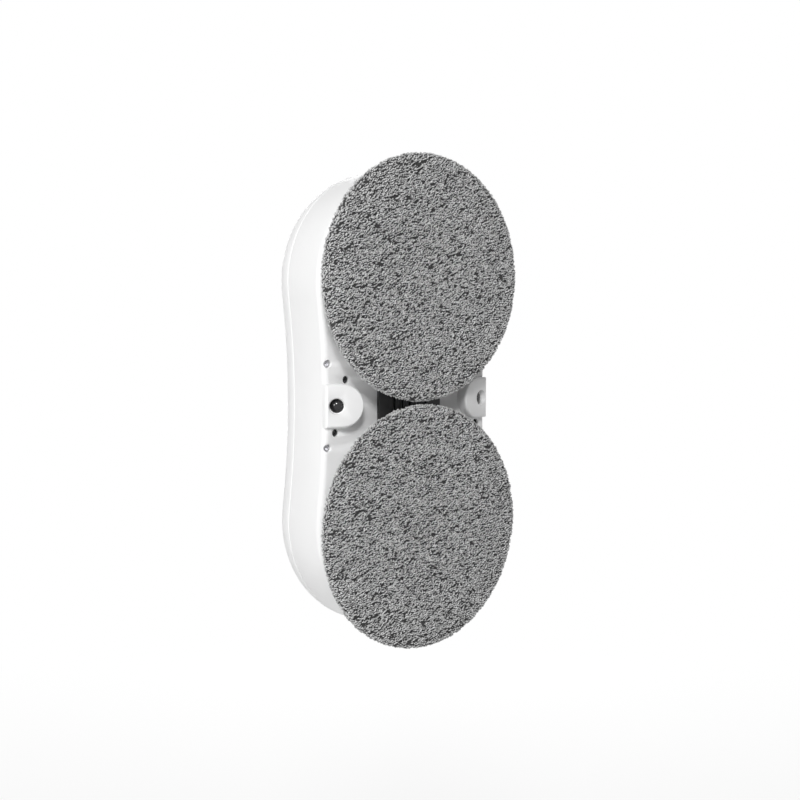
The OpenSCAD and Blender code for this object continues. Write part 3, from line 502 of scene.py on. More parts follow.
def loft(name: str, rings: Sequence[np.ndarray], wrap: bool = False) -> bpy.types.Object:
    """Skin rings of equally many points; the ends are capped unless the rings wrap round.

    Args:
        name: Name of the object.
        rings: Rings of points, each an (n, 3) array.
        wrap: True where the last ring joins the first one.

    Returns:
        A closed object.
    """
    count = len(rings[0])
    steps = len(rings) if wrap else len(rings) - 1
    faces = []
    for i in range(steps):
        a, b = i * count, (i + 1) % len(rings) * count
        faces += [(a + k, a + (k + 1) % count, b + (k + 1) % count, b + k) for k in range(count)]
    if not wrap:
        last = (len(rings) - 1) * count
        faces += [tuple(range(count - 1, -1, -1)), tuple(range(last, last + count))]
    return outward(mesh_object(name, np.concatenate(rings), faces))


def turned(name: str, profile: Sequence[Sequence[float]], centre: tuple[float, float],
           steps: int = 160) -> bpy.types.Object:
    """Turn a closed (radius, y) profile about an axis along Y.

    Args:
        name: Name of the object.
        profile: Corners in metres; corners on the axis become poles.
        centre: The axis, as (x, z).
        steps: Number of turning steps.

    Returns:
        A closed object.
    """
    outline = np.array(profile, float)
    angles = np.linspace(0.0, 2 * math.pi, steps, endpoint=False)
    rings = [np.stack([centre[0] + outline[:, 0] * math.cos(a), outline[:, 1],
                       centre[1] + outline[:, 0] * math.sin(a)], axis=1) for a in angles]
    count = len(outline)
    faces = [(i * count + k, i * count + (k + 1) % count, (i + 1) % steps * count + (k + 1) % count,
              (i + 1) % steps * count + k) for i in range(steps) for k in range(count)
             if outline[k, 0] + outline[(k + 1) % count, 0] > 0]
    return outward(mesh_object(name, np.concatenate(rings), faces))


def rod(x: float, z: float, radius: float, low: float, high: float, steps: int = 64) -> bpy.types.Object:
    """A round bar along Y from low to high."""
    return turned("rod", [(0, low), (radius, low), (radius, high), (0, high)], (x, z), steps)


def tube(x: float, z: float, inner: float, outer: float, low: float, high: float,
         steps: int = 96) -> bpy.types.Object:
    """A round tube along Y from low to high."""
    return turned("tube", [(inner, low), (outer, low), (outer, high), (inner, high)], (x, z), steps)


def block(low: Sequence[float], high: Sequence[float]) -> bpy.types.Object:
    """A rectangular block between two corners."""
    ring = [(low[0], low[2]), (high[0], low[2]), (high[0], high[2]), (low[0], high[2])]
    return loft("block", [np.array([(x, y, z) for x, z in ring]) for y in (low[1], high[1])])


def arc(centre: tuple[float, float], radius: float, start: float, end: float,
        steps: int) -> list[tuple[float, float]]:
    """Points along a round stretch of a profile, with its angles in degrees."""
    return [(centre[0] + radius * math.cos(a), centre[1] + radius * math.sin(a))
            for a in np.radians(np.linspace(start, end, steps + 1))]


def publish(obj: bpy.types.Object, palette: Palette, slot: str, body: str, *nodes: str) -> bpy.types.Object:
    """Dress a finished piece, fix it to its CAD body and hide the nodes that it stands for.

    Args:
        obj: The piece, in place.
        palette: The built materials.
        slot: The record's material slot.
        body: The CAD body that carries it.
        nodes: CAD nodes that it replaces.

    Returns:
        The piece.
    """
    dress(obj, palette.materials[slot])
    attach(obj, body)
    if nodes:
        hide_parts(*nodes)
    LOG.info("%s: %d faces", obj.name, len(obj.data.polygons))
    return obj


class Recipe:
    """A Geometry Nodes tree with named inputs that ends as a plain mesh in one material."""

    def __init__(self, name: str, **sizes: float) -> None:
        """Start a tree.

        Args:
            name: Name of the tree.
            sizes: Its inputs with their values; whole numbers become integer inputs.
        """
        self.tree = bpy.data.node_groups.new(name, "GeometryNodeTree")
        self.tree.interface.new_socket("Geometry", in_out="INPUT", socket_type="NodeSocketGeometry")
        self.tree.interface.new_socket("Geometry", in_out="OUTPUT", socket_type="NodeSocketGeometry")
        self.sizes = sizes
        self.keys = {}
        for key, value in sizes.items():
            kind = "NodeSocketInt" if isinstance(value, int) else "NodeSocketFloat"
            self.keys[key] = self.tree.interface.new_socket(key, in_out="INPUT", socket_type=kind).identifier
        self.source = self.tree.nodes.new("NodeGroupInput")
        self.sink = self.tree.nodes.new("NodeGroupOutput")

    def size(self, key: str) -> bpy.types.NodeSocket:
        """Socket of a named input."""
        return self.source.outputs[key]

    def node(self, kind: str, feeds: dict[int | str, object] | None = None,
             **options: object) -> bpy.types.Node:
        """Add a node.

        Args:
            kind: Blender's name of the node type.
            feeds: Values or sockets by input name or number.
            options: Properties of the node itself.

        Returns:
            The new node.
        """
        made = self.tree.nodes.new(kind)
        for key, value in options.items():
            setattr(made, key, value)
        for key, value in (feeds or {}).items():
            if isinstance(value, bpy.types.NodeSocket):
                self.tree.links.new(value, made.inputs[key])
            else:
                made.inputs[key].default_value = value
        return made

    def maths(self, operation: str, *values: object) -> bpy.types.NodeSocket:
        """Result of a Math node."""
        return self.node("ShaderNodeMath", dict(enumerate(values)), operation=operation).outputs[0]

    def vector(self, x: object = 0.0, y: object = 0.0, z: object = 0.0) -> bpy.types.NodeSocket:
        """A vector from three values or sockets."""
        return self.node("ShaderNodeCombineXYZ", {0: x, 1: y, 2: z}).outputs[0]

    def chance(self, low: object, high: object, seed: object) -> bpy.types.NodeSocket:
        """A random number for each point or instance."""
        return self.node("FunctionNodeRandomValue", {2: low, 3: high, 8: seed}, data_type="FLOAT").outputs[1]

    def store(self, geometry: bpy.types.NodeSocket, name: str, value: object,
              domain: str = "POINT") -> bpy.types.NodeSocket:
        """Keep a number under a name on a geometry."""
        made = self.node("GeometryNodeStoreNamedAttribute", {"Geometry": geometry, "Name": name},
                         data_type="FLOAT", domain=domain)
        slot = next(i for i in made.inputs if i.name == "Value" and i.enabled)
        if isinstance(value, bpy.types.NodeSocket):
            self.tree.links.new(value, slot)
        else:
            slot.default_value = value
        return made.outputs[0]

    def apply(self, obj: bpy.types.Object, geometry: bpy.types.NodeSocket,
              material: bpy.types.Material) -> bpy.types.Object:
        """End the tree, run it on an object and keep the plain mesh.

        Args:
            obj: Object whose mesh goes in.
            geometry: What comes out, instances included.
            material: Material of the result.

        Returns:
            The object with its new mesh.
        """
        real = self.node("GeometryNodeRealizeInstances", {"Geometry": geometry})
        painted = self.node("GeometryNodeSetMaterial", {"Geometry": real.outputs[0], "Material": material})
        self.tree.links.new(painted.outputs[0], self.sink.inputs[0])
        modifier = obj.modifiers.new("recipe", "NODES")
        modifier.node_group = self.tree
        for key, value in self.sizes.items():
            modifier[self.keys[key]] = value
        return settle(obj)


def repeated(name: str, unit: bpy.types.Object, places: Sequence[Sequence[float]],
             material: bpy.types.Material, turns: Sequence[float] | None = None) -> bpy.types.Object:
    """Set copies of a unit at many places with Geometry Nodes.

    Args:
        name: Name of the result.
        unit: Object made about the origin; it is removed.
        places: Where each copy goes, in metres.
        material: Material of the copies.
        turns: Turn of each copy about Y in degrees, or None for no turns.

    Returns:
        One plain mesh of all the copies.
    """
    obj = mesh_object(name, places, [])
    spin = obj.data.attributes.new("spin", "FLOAT", "POINT")
    spin.data.foreach_set("value", [math.radians(t) for t in turns or [0.0] * len(places)])
    recipe = Recipe(name, Scale=1.0)
    copy = recipe.node("GeometryNodeObjectInfo", {"Object": unit})
    turn = recipe.node("GeometryNodeInputNamedAttribute", {"Name": "spin"}, data_type="FLOAT").outputs[0]
    rotation = recipe.node("FunctionNodeEulerToRotation", {0: recipe.vector(y=turn)}).outputs[0]
    set_out = recipe.node("GeometryNodeInstanceOnPoints", {
        "Points": recipe.source.outputs["Geometry"], "Instance": copy.outputs["Geometry"],
        "Rotation": rotation, "Scale": recipe.size("Scale")})
    recipe.apply(obj, set_out.outputs[0], material)
    drop(unit)
    return obj


# Shell


@dataclass(frozen=True)
class Plan:
    """Outline of the shell seen from the glass: two round ends joined by hollow waists."""

    end_r: float = 67 * MM
    end_z: float = 72 * MM
    waist_half: float = 62.5 * MM
    end_steps: int = 44
    waist_steps: int = 26

    @property
    def waist_r(self) -> float:
        """Radius of the hollow waist arcs."""
        square = self.waist_half ** 2 + self.end_z ** 2 - self.end_r ** 2
        return square / (2 * (self.end_r - self.waist_half))

    @property
    def blend(self) -> float:
        """Angle at which an end arc meets a waist arc, in degrees."""
        return math.degrees(math.asin(self.end_z / (self.end_r + self.waist_r)))

    def points(self, inset: float) -> np.ndarray:
        """Points (x, z) of the outline drawn in by inset, anticlockwise from the lowest one."""
        radius, waist = self.end_r - inset, self.waist_r + inset
        right = arc((0.0, -self.end_z), radius, -90, self.blend, self.end_steps)
        right += arc((self.waist_half + self.waist_r, 0.0), waist, 180 + self.blend, 180 - self.blend,
                     self.waist_steps)[1:-1]
        right += arc((0.0, self.end_z), radius, -self.blend, 90, self.end_steps)
        left = [(-x, z) for x, z in reversed(right[1:-1])]
        return np.array(right + left)

    def ring(self, inset: float, y: float) -> np.ndarray:
        """The outline drawn in by inset, at a level y."""
        flat = self.points(inset)
        return np.stack([flat[:, 0], np.full(len(flat), y), flat[:, 1]], axis=1)


@dataclass(frozen=True)
class Levels:
    """Heights above the glass that the shell's pieces share, and the places of its fittings."""

    floor: float = 19 * MM
    seam: float = 50 * MM
    wall: float = 2.4 * MM
    edge: float = 3.5 * MM
    shoulder: float = 22 * MM
    crown_slope: float = 7.0
    well: tuple[float, float] = (60.2 * MM, 24.7 * MM)
    well_r: float = 2.4 * MM
    well_depth: float = 3.4 * MM
    port_up: tuple[float, float] = (47.3 * MM, 15 * MM)
    port_low: tuple[float, float] = (54.9 * MM, -16 * MM)
    port_r: float = 2.4 * MM
    dome: tuple[float, float] = (54.7 * MM, 18 * MM)
    dome_r: float = 4.15 * MM
    dome_tilt: float = 35.0
    scoop_gap: float = 0.7 * MM
    scoop_reach: float = 12 * MM
    bore_step: float = 0.6 * MM
    bore_depth: float = 10 * MM
    pod_r: float = 12.75 * MM
    pod_in: float = 39.5 * MM
    pod_h: float = 8.3 * MM
    pod_slope: float = 15.6
    pod_round: float = 1.6 * MM
    pod_seat: float = 0.9 * MM

    @property
    def pod_back(self) -> float:
        """Level that a pod's foot reaches in its seat on the tray's rounded edge."""
        return self.floor + self.edge - self.pod_seat

    @property
    def wheel_z(self) -> float:
        """Distance of each wheel axis from the middle."""
        low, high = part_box("upper_wheel")
        return round((low.z + high.z) / 2, 4)


@dataclass
class HousingShell:
    """Tray half of the shell, with its screw wells, sensor ports and bearing bores."""

    plan: Plan
    levels: Levels
    palette: Palette
    lip: float = 0.3 * MM
    edge_steps: int = 8
    inner_corner: float = 2 * MM
    hub_r: float = 22.5 * MM
    collar_r: float = 26 * MM
    collar_top: float = 4.2 * MM
    vent: tuple[float, float] = (18 * MM, 22 * MM)
    inlet_r: float = 5.65 * MM
    inlet_run: tuple[float, float] = (-6 * MM, 3 * MM)
    seat_out: float = 5 * MM
    post_r: float = 3.5 * MM
    post_foot: float = 2 * MM
    post_top: float = 32.4 * MM
    end_post: tuple[float, float] = (33 * MM, 118 * MM)
    middle_post: float = 36 * MM

    def rings(self) -> list[np.ndarray]:
        """Rings from the floor's outer face over the rim to its inner face."""
        lv, plan = self.levels, self.plan
        turns = [math.radians(90 * i / self.edge_steps) for i in range(self.edge_steps + 1)]
        rings = [plan.ring(lv.edge * (1 - math.sin(a)), lv.floor + lv.edge * (1 - math.cos(a)))
                 for a in turns]
        rings += [plan.ring(0, lv.seam - self.lip), plan.ring(self.lip, lv.seam), plan.ring(lv.wall, lv.seam)]
        rings += [plan.ring(lv.wall, lv.floor + lv.wall + self.inner_corner),
                  plan.ring(lv.wall + self.inner_corner, lv.floor + lv.wall)]
        return rings

    def cutters(self) -> list[bpy.types.Object]:
        """Solids for every opening in the tray."""
        lv, waist = self.levels, self.plan.waist_half
        low, past = lv.floor - OVERCUT, lv.floor + lv.wall + OVERCUT
        tools = []
        for side in Side:
            for z in (lv.well[1], -lv.well[1]):
                tools.append(rod(side.value * lv.well[0], z, lv.well_r, low, lv.floor + lv.well_depth))
            for x, z in (lv.port_up, lv.port_low):
                tools.append(rod(side.value * x, z, lv.port_r, low, past))
            tools += sensor_cutters(lv, side)
            near, far = sorted((side.value * (waist - lv.edge), side.value * (waist + self.seat_out)))
            tools.append(block((near, low, -lv.pod_r), (far, lv.pod_back, lv.pod_r)))
        for end in End:
            tools.append(rod(0.0, end.sign * lv.wheel_z, self.hub_r, low, past))
        half_w, half_l = self.vent
        tools.append(block((-half_w, low, -half_l), (half_w, past, half_l)))
        socket_low, socket_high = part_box("dc_socket")
        tools.append(across_rod((socket_low.y + socket_high.y) / 2, self.inlet_r,
                                waist + self.inlet_run[0], waist + self.inlet_run[1]))
        return tools

    def build(self) -> None:
        """Make the tray and its inner posts, and put it in place of the CAD node."""
        lv = self.levels
        shell = cut(capped("housing_shell", self.rings()), self.cutters())
        foot = lv.floor + self.post_foot
        posts = []
        for end in End:
            posts.append(tube(0.0, end.sign * lv.wheel_z, self.hub_r, self.collar_r, foot,
                              lv.floor + self.collar_top))
            for side in Side:
                posts.append(self.post(side.value * self.end_post[0], end.sign * self.end_post[1], foot))
        for side in Side:
            posts.append(self.post(side.value * self.middle_post, 0.0, foot))
        whole = joined("housing_shell", [soften(shell, SHELL_EDGE), *posts])
        publish(smooth(whole), self.palette, "shell_white", CHASSIS, "bottom_housing")

    def post(self, x: float, z: float, foot: float) -> bpy.types.Object:
        """Screw post that carries the deck."""
        return rod(x, z, self.post_r, foot, self.post_top)


def capped(name: str, rings: Sequence[np.ndarray]) -> bpy.types.Object:
    """Skin outline rings and close both ends with strips across the shell.

    Args:
        name: Name of the object.
        rings: Rings in order, whose points pair up across the middle, with a flat one at each end.

    Returns:
        A closed object.
    """
    count = len(rings[0])
    half = count // 2
    faces = []
    for i in range(len(rings) - 1):
        a = i * count
        faces += [(a + k, a + (k + 1) % count, a + count + (k + 1) % count, a + count + k)
                  for k in range(count)]
    last = (len(rings) - 1) * count
    for base, flip in ((0, True), (last, False)):
        strips = [(base, base + 1, base + count - 1), (base + half - 1, base + half, base + half + 1)]
        strips += [(base + k, base + k + 1, base + count - k - 1, base + count - k)
                   for k in range(1, half - 1)]
        faces += [tuple(reversed(s)) for s in strips] if flip else strips
    return outward(mesh_object(name, np.concatenate(rings), faces))


def sensor_rod(lv: Levels, side: Side, radius: float, low: float, high: float) -> bpy.types.Object:
    """A round bar along a collision sensor's axis, measured from its dome's foot."""
    return along_sensor(rod(0.0, 0.0, radius, low, high), lv, side)


def sensor_cutters(lv: Levels, side: Side) -> list[bpy.types.Object]:
    """The scoop in front of a collision sensor's dome and the bore for its barrel."""
    return [sensor_rod(lv, side, lv.dome_r + lv.scoop_gap, 0.0, lv.scoop_reach),
            sensor_rod(lv, side, lv.dome_r - lv.bore_step, -lv.bore_depth, OVERCUT)]


def across_rod(y: float, radius: float, low: float, high: float) -> bpy.types.Object:
    """A round bar along X at a height y above the glass, on the robot's middle level."""
    bar = rod(0.0, 0.0, radius, low, high)
    bar.data.transform(Matrix.Translation((0.0, y, 0.0)) @ Matrix.Rotation(math.radians(-90), 4, "Z"))
    return bar


@dataclass
class CoverShell:
    """Domed half of the shell, with openings for the exhaust and every control."""

    plan: Plan
    levels: Levels
    palette: Palette
    lip: float = 0.3 * MM
    ridge: float = 2.5 * MM
    tongue_t: float = 1.2 * MM
    tongue_up: float = 1.5 * MM
    tongue_down: float = 2.5 * MM
    under: float = 60 * MM
    above: float = 90 * MM
    grille_step: float = 2.4 * MM
    eye_seat: float = 71.42 * MM
    window_flange: float = 1.5 * MM
    button_r: float = 8.08 * MM
    switch_rim: float = 1.2 * MM
    switch_flange: float = 1.4 * MM
    shoulder_steps: int = 22
    crown_steps: int = 26
    inner_steps: tuple[int, int] = (8, 6)
    bore_steps: int = 128

    def crown(self, inset: float) -> float:
        """Height of the outer surface at a distance in from the outline."""
        lv = self.levels
        run_start, run_length = self.crown_run()
        if inset < run_start:
            return lv.seam + math.sqrt(lv.shoulder ** 2 - (lv.shoulder - inset) ** 2)
        run = inset - run_start
        rise = math.tan(math.radians(lv.crown_slope)) * (run - run ** 2 / (2 * run_length))
        return lv.seam + lv.shoulder * math.sin(math.radians(90 - lv.crown_slope)) + rise

    def crown_run(self) -> tuple[float, float]:
        """Where the crown starts, in from the outline, and how far it runs."""
        lv = self.levels
        start = lv.shoulder * (1 - math.cos(math.radians(90 - lv.crown_slope)))
        return start, self.plan.waist_half - self.ridge - start

    def surface(self, depth: float, shoulder_steps: int, crown_steps: int) -> list[np.ndarray]:
        """Rings of the dome at a depth below its outer face, from the seam to the middle."""
        lv = self.levels
        start, length = self.crown_run()
        rings = []
        for i in range(shoulder_steps + 1):
            turn = math.radians((90 - lv.crown_slope) * i / shoulder_steps)
            reach = lv.shoulder - depth
            rings.append(self.plan.ring(lv.shoulder - reach * math.cos(turn),
                                        lv.seam + reach * math.sin(turn)))
        for i in range(1, crown_steps + 1):
            inset = start + length * i / crown_steps
            rings.append(self.plan.ring(inset, self.crown(inset) - depth))
        return rings

    def cutters(self) -> list[bpy.types.Object]:
        """Solids for every opening in the dome, sized by the CAD pieces that sit in them."""
        grille_low, grille_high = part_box("exhaust_grille")
        grille_r = (grille_high.x - grille_low.x) / 2
        ring_low, ring_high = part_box("button_ring")
        tools = [rod(0.0, 0.0, grille_r - self.grille_step, self.under, self.above, self.bore_steps),
                 rod(0.0, 0.0, grille_r + FIT, grille_high.y - GRILLE_RIM, self.above, self.bore_steps),
                 self.bore("button_ring", FIT, ring_low.y),
                 rod(0.0, (ring_low.z + ring_high.z) / 2, self.button_r, self.under, self.above),
                 self.bore("tether_eye", FIT, self.eye_seat),
                 self.bore("remote_window", FIT - self.window_flange, self.under)]
        low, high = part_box("power_switch")
        centre = (low.z + high.z) / 2
        half_w, half_l = (high.x - low.x) / 2, (high.z - low.z) / 2
        for floor, grow in ((self.under, FIT - self.switch_rim), (high.y - self.switch_flange, FIT)):
            tools.append(block((-half_w - grow, floor, centre - half_l - grow),
                               (half_w + grow, self.above, centre + half_l + grow)))
        return tools

    def bore(self, node: str, grow: float, floor: float) -> bpy.types.Object:
        """Cutter for a round opening about a CAD node, from a floor up past the dome."""
        low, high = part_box(node)
        return rod(0.0, (low.z + high.z) / 2, (high.x - low.x) / 2 + grow, floor, self.above)

    def build(self) -> None:
        """Make the dome and put it in place of the CAD node."""
        lv = self.levels
        inner = self.surface(lv.wall, *self.inner_steps)
        tongue = lv.wall + FIT
        tip = lv.seam - self.tongue_down
        rings = inner[:0:-1]
        rings += [self.plan.ring(tongue + self.tongue_t, lv.seam + self.tongue_up),
                  self.plan.ring(tongue + self.tongue_t, tip), self.plan.ring(tongue, tip),
                  self.plan.ring(tongue, lv.seam)]
        outer = self.surface(0.0, self.shoulder_steps, self.crown_steps)
        rings += [self.plan.ring(self.lip, lv.seam), self.plan.ring(0.0, lv.seam + self.lip), *outer[1:]]
        shell = cut(capped("cover_shell", rings), self.cutters())
        publish(soften(shell, SHELL_EDGE), self.palette, "shell_white", CHASSIS, "top_cover")


@dataclass
class SidePod:
    """White pod over a collision sensor: half round in plan, with a sloping face and a scoop."""

    side: Side
    plan: Plan
    levels: Levels
    palette: Palette
    rounding_steps: int = 7
    plan_steps: int = 40
    skirt_lap: float = 0.5 * MM
    edge: float = 0.18 * MM
    edge_limit: float = 25.0
    bulge: float = 2.4 * MM
    barrel_h: float = 6 * MM
    barrel_in: float = 0.75 * MM
    dome_gap: float = 0.15 * MM
    dome_steps: int = 14
    dome_reach: float = 0.985

    def build(self) -> None:
        """Make the pod and its sensor, and put them in place of their CAD nodes."""
        lv, waist = self.levels, self.plan.waist_half
        name = self.side.name.lower()
        near, far = sorted((self.side.value * (waist - lv.edge), self.side.value * waist))
        skirt = block((near, lv.floor - self.skirt_lap, -lv.pod_r), (far, lv.pod_back, lv.pod_r))
        body = cut(unite(hull("pod", self.skin()), skirt), sensor_cutters(lv, self.side))
        body.name = f"{name}_pod_shell"
        publish(soften(body, self.edge, self.edge_limit), self.palette, "shell_white", CHASSIS, f"{name}_pod")
        dome = self.dome()
        dome.name = f"{name}_sensor_dome"
        publish(smooth(dome), self.palette, "black_plastic", CHASSIS, f"{name}_sensor")

    def skin(self) -> list[Vector]:
        """Points on the pod's convex skin: its foot and the rounded rings of its sloping face."""
        lv = self.levels
        slope = math.radians(lv.pod_slope)
        reach = lv.pod_in + (self.plan.waist_half - lv.pod_in) / math.cos(slope)
        points = [(x, lv.floor, z) for x, z in self.ring(0.0, self.plan.waist_half)]
        for i in range(self.rounding_steps):
            turn = math.radians(90 * i / (self.rounding_steps - 1))
            inset = lv.pod_round * (1 - math.sin(turn))
            drop_y = lv.floor - lv.pod_h + lv.pod_round * (1 - math.cos(turn))
            for x, z in self.ring(inset, reach):
                run = x - lv.pod_in
                points.append((lv.pod_in + run * math.cos(slope), drop_y + run * math.sin(slope), z))
        return [Vector((self.side.value * x, y, z)) for x, y, z in points]

    def ring(self, inset: float, out: float) -> list[tuple[float, float]]:
        """Half-round plan of the pod, drawn in by inset."""
        lv = self.levels
        radius = lv.pod_r - inset
        curve = arc((lv.pod_in + lv.pod_r, 0.0), radius, 90, 270, self.plan_steps)
        return curve + [(out - inset / 2, -radius), (out - inset / 2, radius)]

    def dome(self) -> bpy.types.Object:
        """Glossy black dome on its barrel, turned along the sensor's axis."""
        lv, bulge = self.levels, self.bulge
        sphere_r = (lv.dome_r ** 2 + bulge ** 2) / (2 * bulge)
        rim = math.asin(lv.dome_r / sphere_r)
        barrel = lv.dome_r - self.barrel_in
        profile = [(0.0, -self.barrel_h), (barrel, -self.barrel_h), (barrel, 0.0),
                   (lv.dome_r - self.dome_gap, 0.0)]
        profile += [(sphere_r * math.sin(a), bulge - sphere_r * (1 - math.cos(a)))
                    for a in np.linspace(rim * self.dome_reach, 0.0, self.dome_steps)]
        return along_sensor(turned("dome", profile, (0.0, 0.0), 64), lv, self.side)


def hull(name: str, points: Sequence[Vector]) -> bpy.types.Object:
    """Smallest convex body round some points."""
    made = bmesh.new()
    for point in points:
        made.verts.new(point)
    found = bmesh.ops.convex_hull(made, input=made.verts)
    spare = {v for v in found["geom_interior"] + found["geom_unused"] if isinstance(v, bmesh.types.BMVert)}
    bmesh.ops.delete(made, geom=list(spare), context="VERTS")
    bmesh.ops.dissolve_limit(made, angle_limit=math.radians(0.5), verts=made.verts, edges=made.edges)
    mesh = bpy.data.meshes.new(name)
    made.to_mesh(mesh)
    made.free()
    obj = bpy.data.objects.new(name, mesh)
    bpy.context.scene.collection.objects.link(obj)
    return outward(obj)


def unite(obj: bpy.types.Object, other: bpy.types.Object) -> bpy.types.Object:
    """Fuse another closed body into an object."""
    tool = obj.modifiers.new("join", "BOOLEAN")
    tool.operation = "UNION"
    tool.solver = "EXACT"
    tool.object = other
    settle(obj)
    drop(other)
    return obj


def along_sensor(obj: bpy.types.Object, lv: Levels, side: Side) -> bpy.types.Object:
    """Move a piece made about Y at the origin onto a collision sensor's axis."""
    turn = Matrix.Rotation(math.radians(180 + side.value * lv.dome_tilt), 4, "Z")
    obj.data.transform(Matrix.Translation((side.value * lv.dome[0], lv.dome[1], 0.0)) @ turn)
    return obj


# Fittings


def refined(palette: Palette, node: str, body: str, width: float, limit: float = 30.0,
            added: Sequence[bpy.types.Object] = ()) -> bpy.types.Object:
    """Repeat a CAD node with its flat faces merged and its sharp edges rounded, in place of the node.

    Args:
        palette: The built materials.
        node: The CAD node.
        body: The CAD body that carries it.
        width: How wide its edges are rounded.
        limit: Least angle of an edge that is rounded, in degrees.
        added: Closed bodies that are fused to it first.

    Returns:
        The new piece.
    """
    obj = bpy.data.objects.new(f"{node}_piece", frame["nodes"][node].data.copy())
    bpy.context.scene.collection.objects.link(obj)
    made = bmesh.new()
    made.from_mesh(obj.data)
    bmesh.ops.remove_doubles(made, verts=made.verts, dist=1e-6)
    bmesh.ops.dissolve_limit(made, angle_limit=math.radians(0.8), verts=made.verts, edges=made.edges)
    bmesh.ops.recalc_face_normals(made, faces=made.faces)
    made.to_mesh(obj.data)
    made.free()
    for other in added:
        unite(obj, outward(other))
    return publish(soften(obj, width, limit), palette, palette.slot_of[node], body, node)


def round_ring(inner: float, outer: float, low: float, high: float, radius: float, centre_z: float = 0.0,
               steps: int = 144) -> bpy.types.Object:
    """A ring along Y whose far edges are rounded; an inner radius of 0 makes a disc."""
    profile = [(inner, low), (outer, low)]
    profile += arc((outer - radius, high - radius), radius, 0, 90, 5)
    profile += arc((inner + radius, high - radius), radius, 90, 180, 5) if inner > 0 else [(0.0, high)]
    return turned("ring", profile, (0.0, centre_z), steps)


@dataclass
class CarryHandle:
    """Arched handle on the crown: a softly squared grip that widens into two rounded feet."""

    palette: Palette
    thick: float = 11 * MM
    foot_rim: float = 1.2 * MM
    foot_step: float = 3 * MM
    foot_h: float = 2 * MM
    sunk: float = 0.3 * MM
    flare: float = 0.10
    flare_h: float = 3.5 * MM
    arch: float = 2.6
    section: float = 0.65
    foot_draw: float = 0.7
    foot_section: float = 0.45
    foot_steps: int = 6
    steps: int = 110
    sides: int = 56

    def build(self) -> None:
        """Make the handle and put it in place of its CAD node."""
        low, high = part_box("carry_handle")
        span = high.z - self.thick / 2 - self.foot_step
        rise = high.y - low.y - self.thick / 2
        half_w = high.x - self.foot_rim
        turns = [math.pi * i / self.steps for i in range(self.steps + 1)]
        parts = [loft("grip", [self.ring(t, low.y, span, rise, half_w) for t in turns])]
        for end in End:
            parts.append(self.foot(low.y, end.sign * span, high.x, self.thick / 2 + self.foot_step))
        publish(smooth(joined("handle", parts), 40.0), self.palette, "shell_white", CHASSIS, "carry_handle")

    def bent(self, value: float, power: float) -> float:
        """A power that keeps its sign."""
        return math.copysign(abs(value) ** power, value)

    def ring(self, turn: float, base: float, span: float, rise: float, half_w: float) -> np.ndarray:
        """Section of the grip at a turn along the arch."""
        z = span * self.bent(math.cos(turn), 2 / self.arch)
        y = rise * abs(math.sin(turn)) ** (2 / self.arch)
        power = 2 - 2 / self.arch
        way = Vector((-span * abs(math.sin(turn)) ** power,
                      rise * self.bent(math.cos(turn), power))).normalized()
        wide = 1 + self.flare * math.exp(-y / self.flare_h)
        points = []
        for i in range(self.sides):
            a = 2 * math.pi * i / self.sides
            across = half_w * self.bent(math.cos(a), self.section)
            out = self.thick / 2 * wide * self.bent(math.sin(a), self.section)
            points.append((across, base + y - out * way.x - (self.sunk if y < self.sunk else 0.0),
                           z + out * way.y))
        return np.array(points)

    def foot(self, base: float, z: float, half_w: float, half_l: float) -> bpy.types.Object:
        """Rounded plate under one end of the grip."""
        levels = [(0.0, base - self.sunk)]
        for i in range(self.foot_steps + 1):
            turn = math.radians(90 * i / self.foot_steps)
            levels.append((self.foot_h * (1 - math.cos(turn)) * self.foot_draw,
                           base + self.foot_h * math.sin(turn)))
        around = np.linspace(0, 2 * math.pi, self.sides, endpoint=False)
        rings = [np.array([((half_w - inset) * self.bent(math.cos(a), self.foot_section), y,
                            z + (half_l - inset) * self.bent(math.sin(a), self.foot_section))
                           for a in around]) for inset, y in levels]
        return loft("foot", rings)


@dataclass
class ExhaustGrille:
    """Dark round grille over the fan's outlet: a flange, four rings and six arms."""

    palette: Palette
    rim_w: float = 5 * MM
    rim_round: float = 0.7 * MM
    collar_gap: float = 2.65 * MM
    pitch: float = 5.6 * MM
    bar: float = 1.8 * MM
    bar_foot: float = 1.5 * MM
    bar_rise: float = 1.0 * MM
    bar_round: float = 0.8 * MM
    hub_rise: float = 1.1 * MM
    arm_round: float = 0.5 * MM
    lap: float = 0.5 * MM
    rings: int = 4
    arms: int = 3

    def build(self) -> None:
        """Make the grille and put it in place of its CAD node."""
        low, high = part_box("exhaust_grille")
        outer = (high.x - low.x) / 2
        seat, foot = high.y - GRILLE_RIM, low.y + self.bar_foot
        inner = outer - self.rim_w
        reach, top = inner + self.lap, seat + self.lap
        parts = [round_ring(inner, outer, seat, high.y, self.rim_round),
                 tube(0.0, 0.0, inner, outer - self.collar_gap, low.y, top, 128),
                 round_ring(0.0, self.pitch, foot, seat + self.hub_rise, self.bar_round)]
        for i in range(2, self.rings + 1):
            edge = i * self.pitch
            parts.append(round_ring(edge - self.bar, edge, foot, seat + self.bar_rise, self.bar_round))
        arm = soften(block((-reach, foot, -self.bar / 2), (reach, top, self.bar / 2)), self.arm_round)
        turns = [180.0 * i / self.arms for i in range(self.arms)]
        parts.append(repeated("grille_arms", arm, [(0.0, 0.0, 0.0)] * self.arms,
                              self.palette.materials["dark_plastic"], turns))
        publish(smooth(joined("grille", parts)), self.palette, "dark_plastic", CHASSIS, "exhaust_grille")


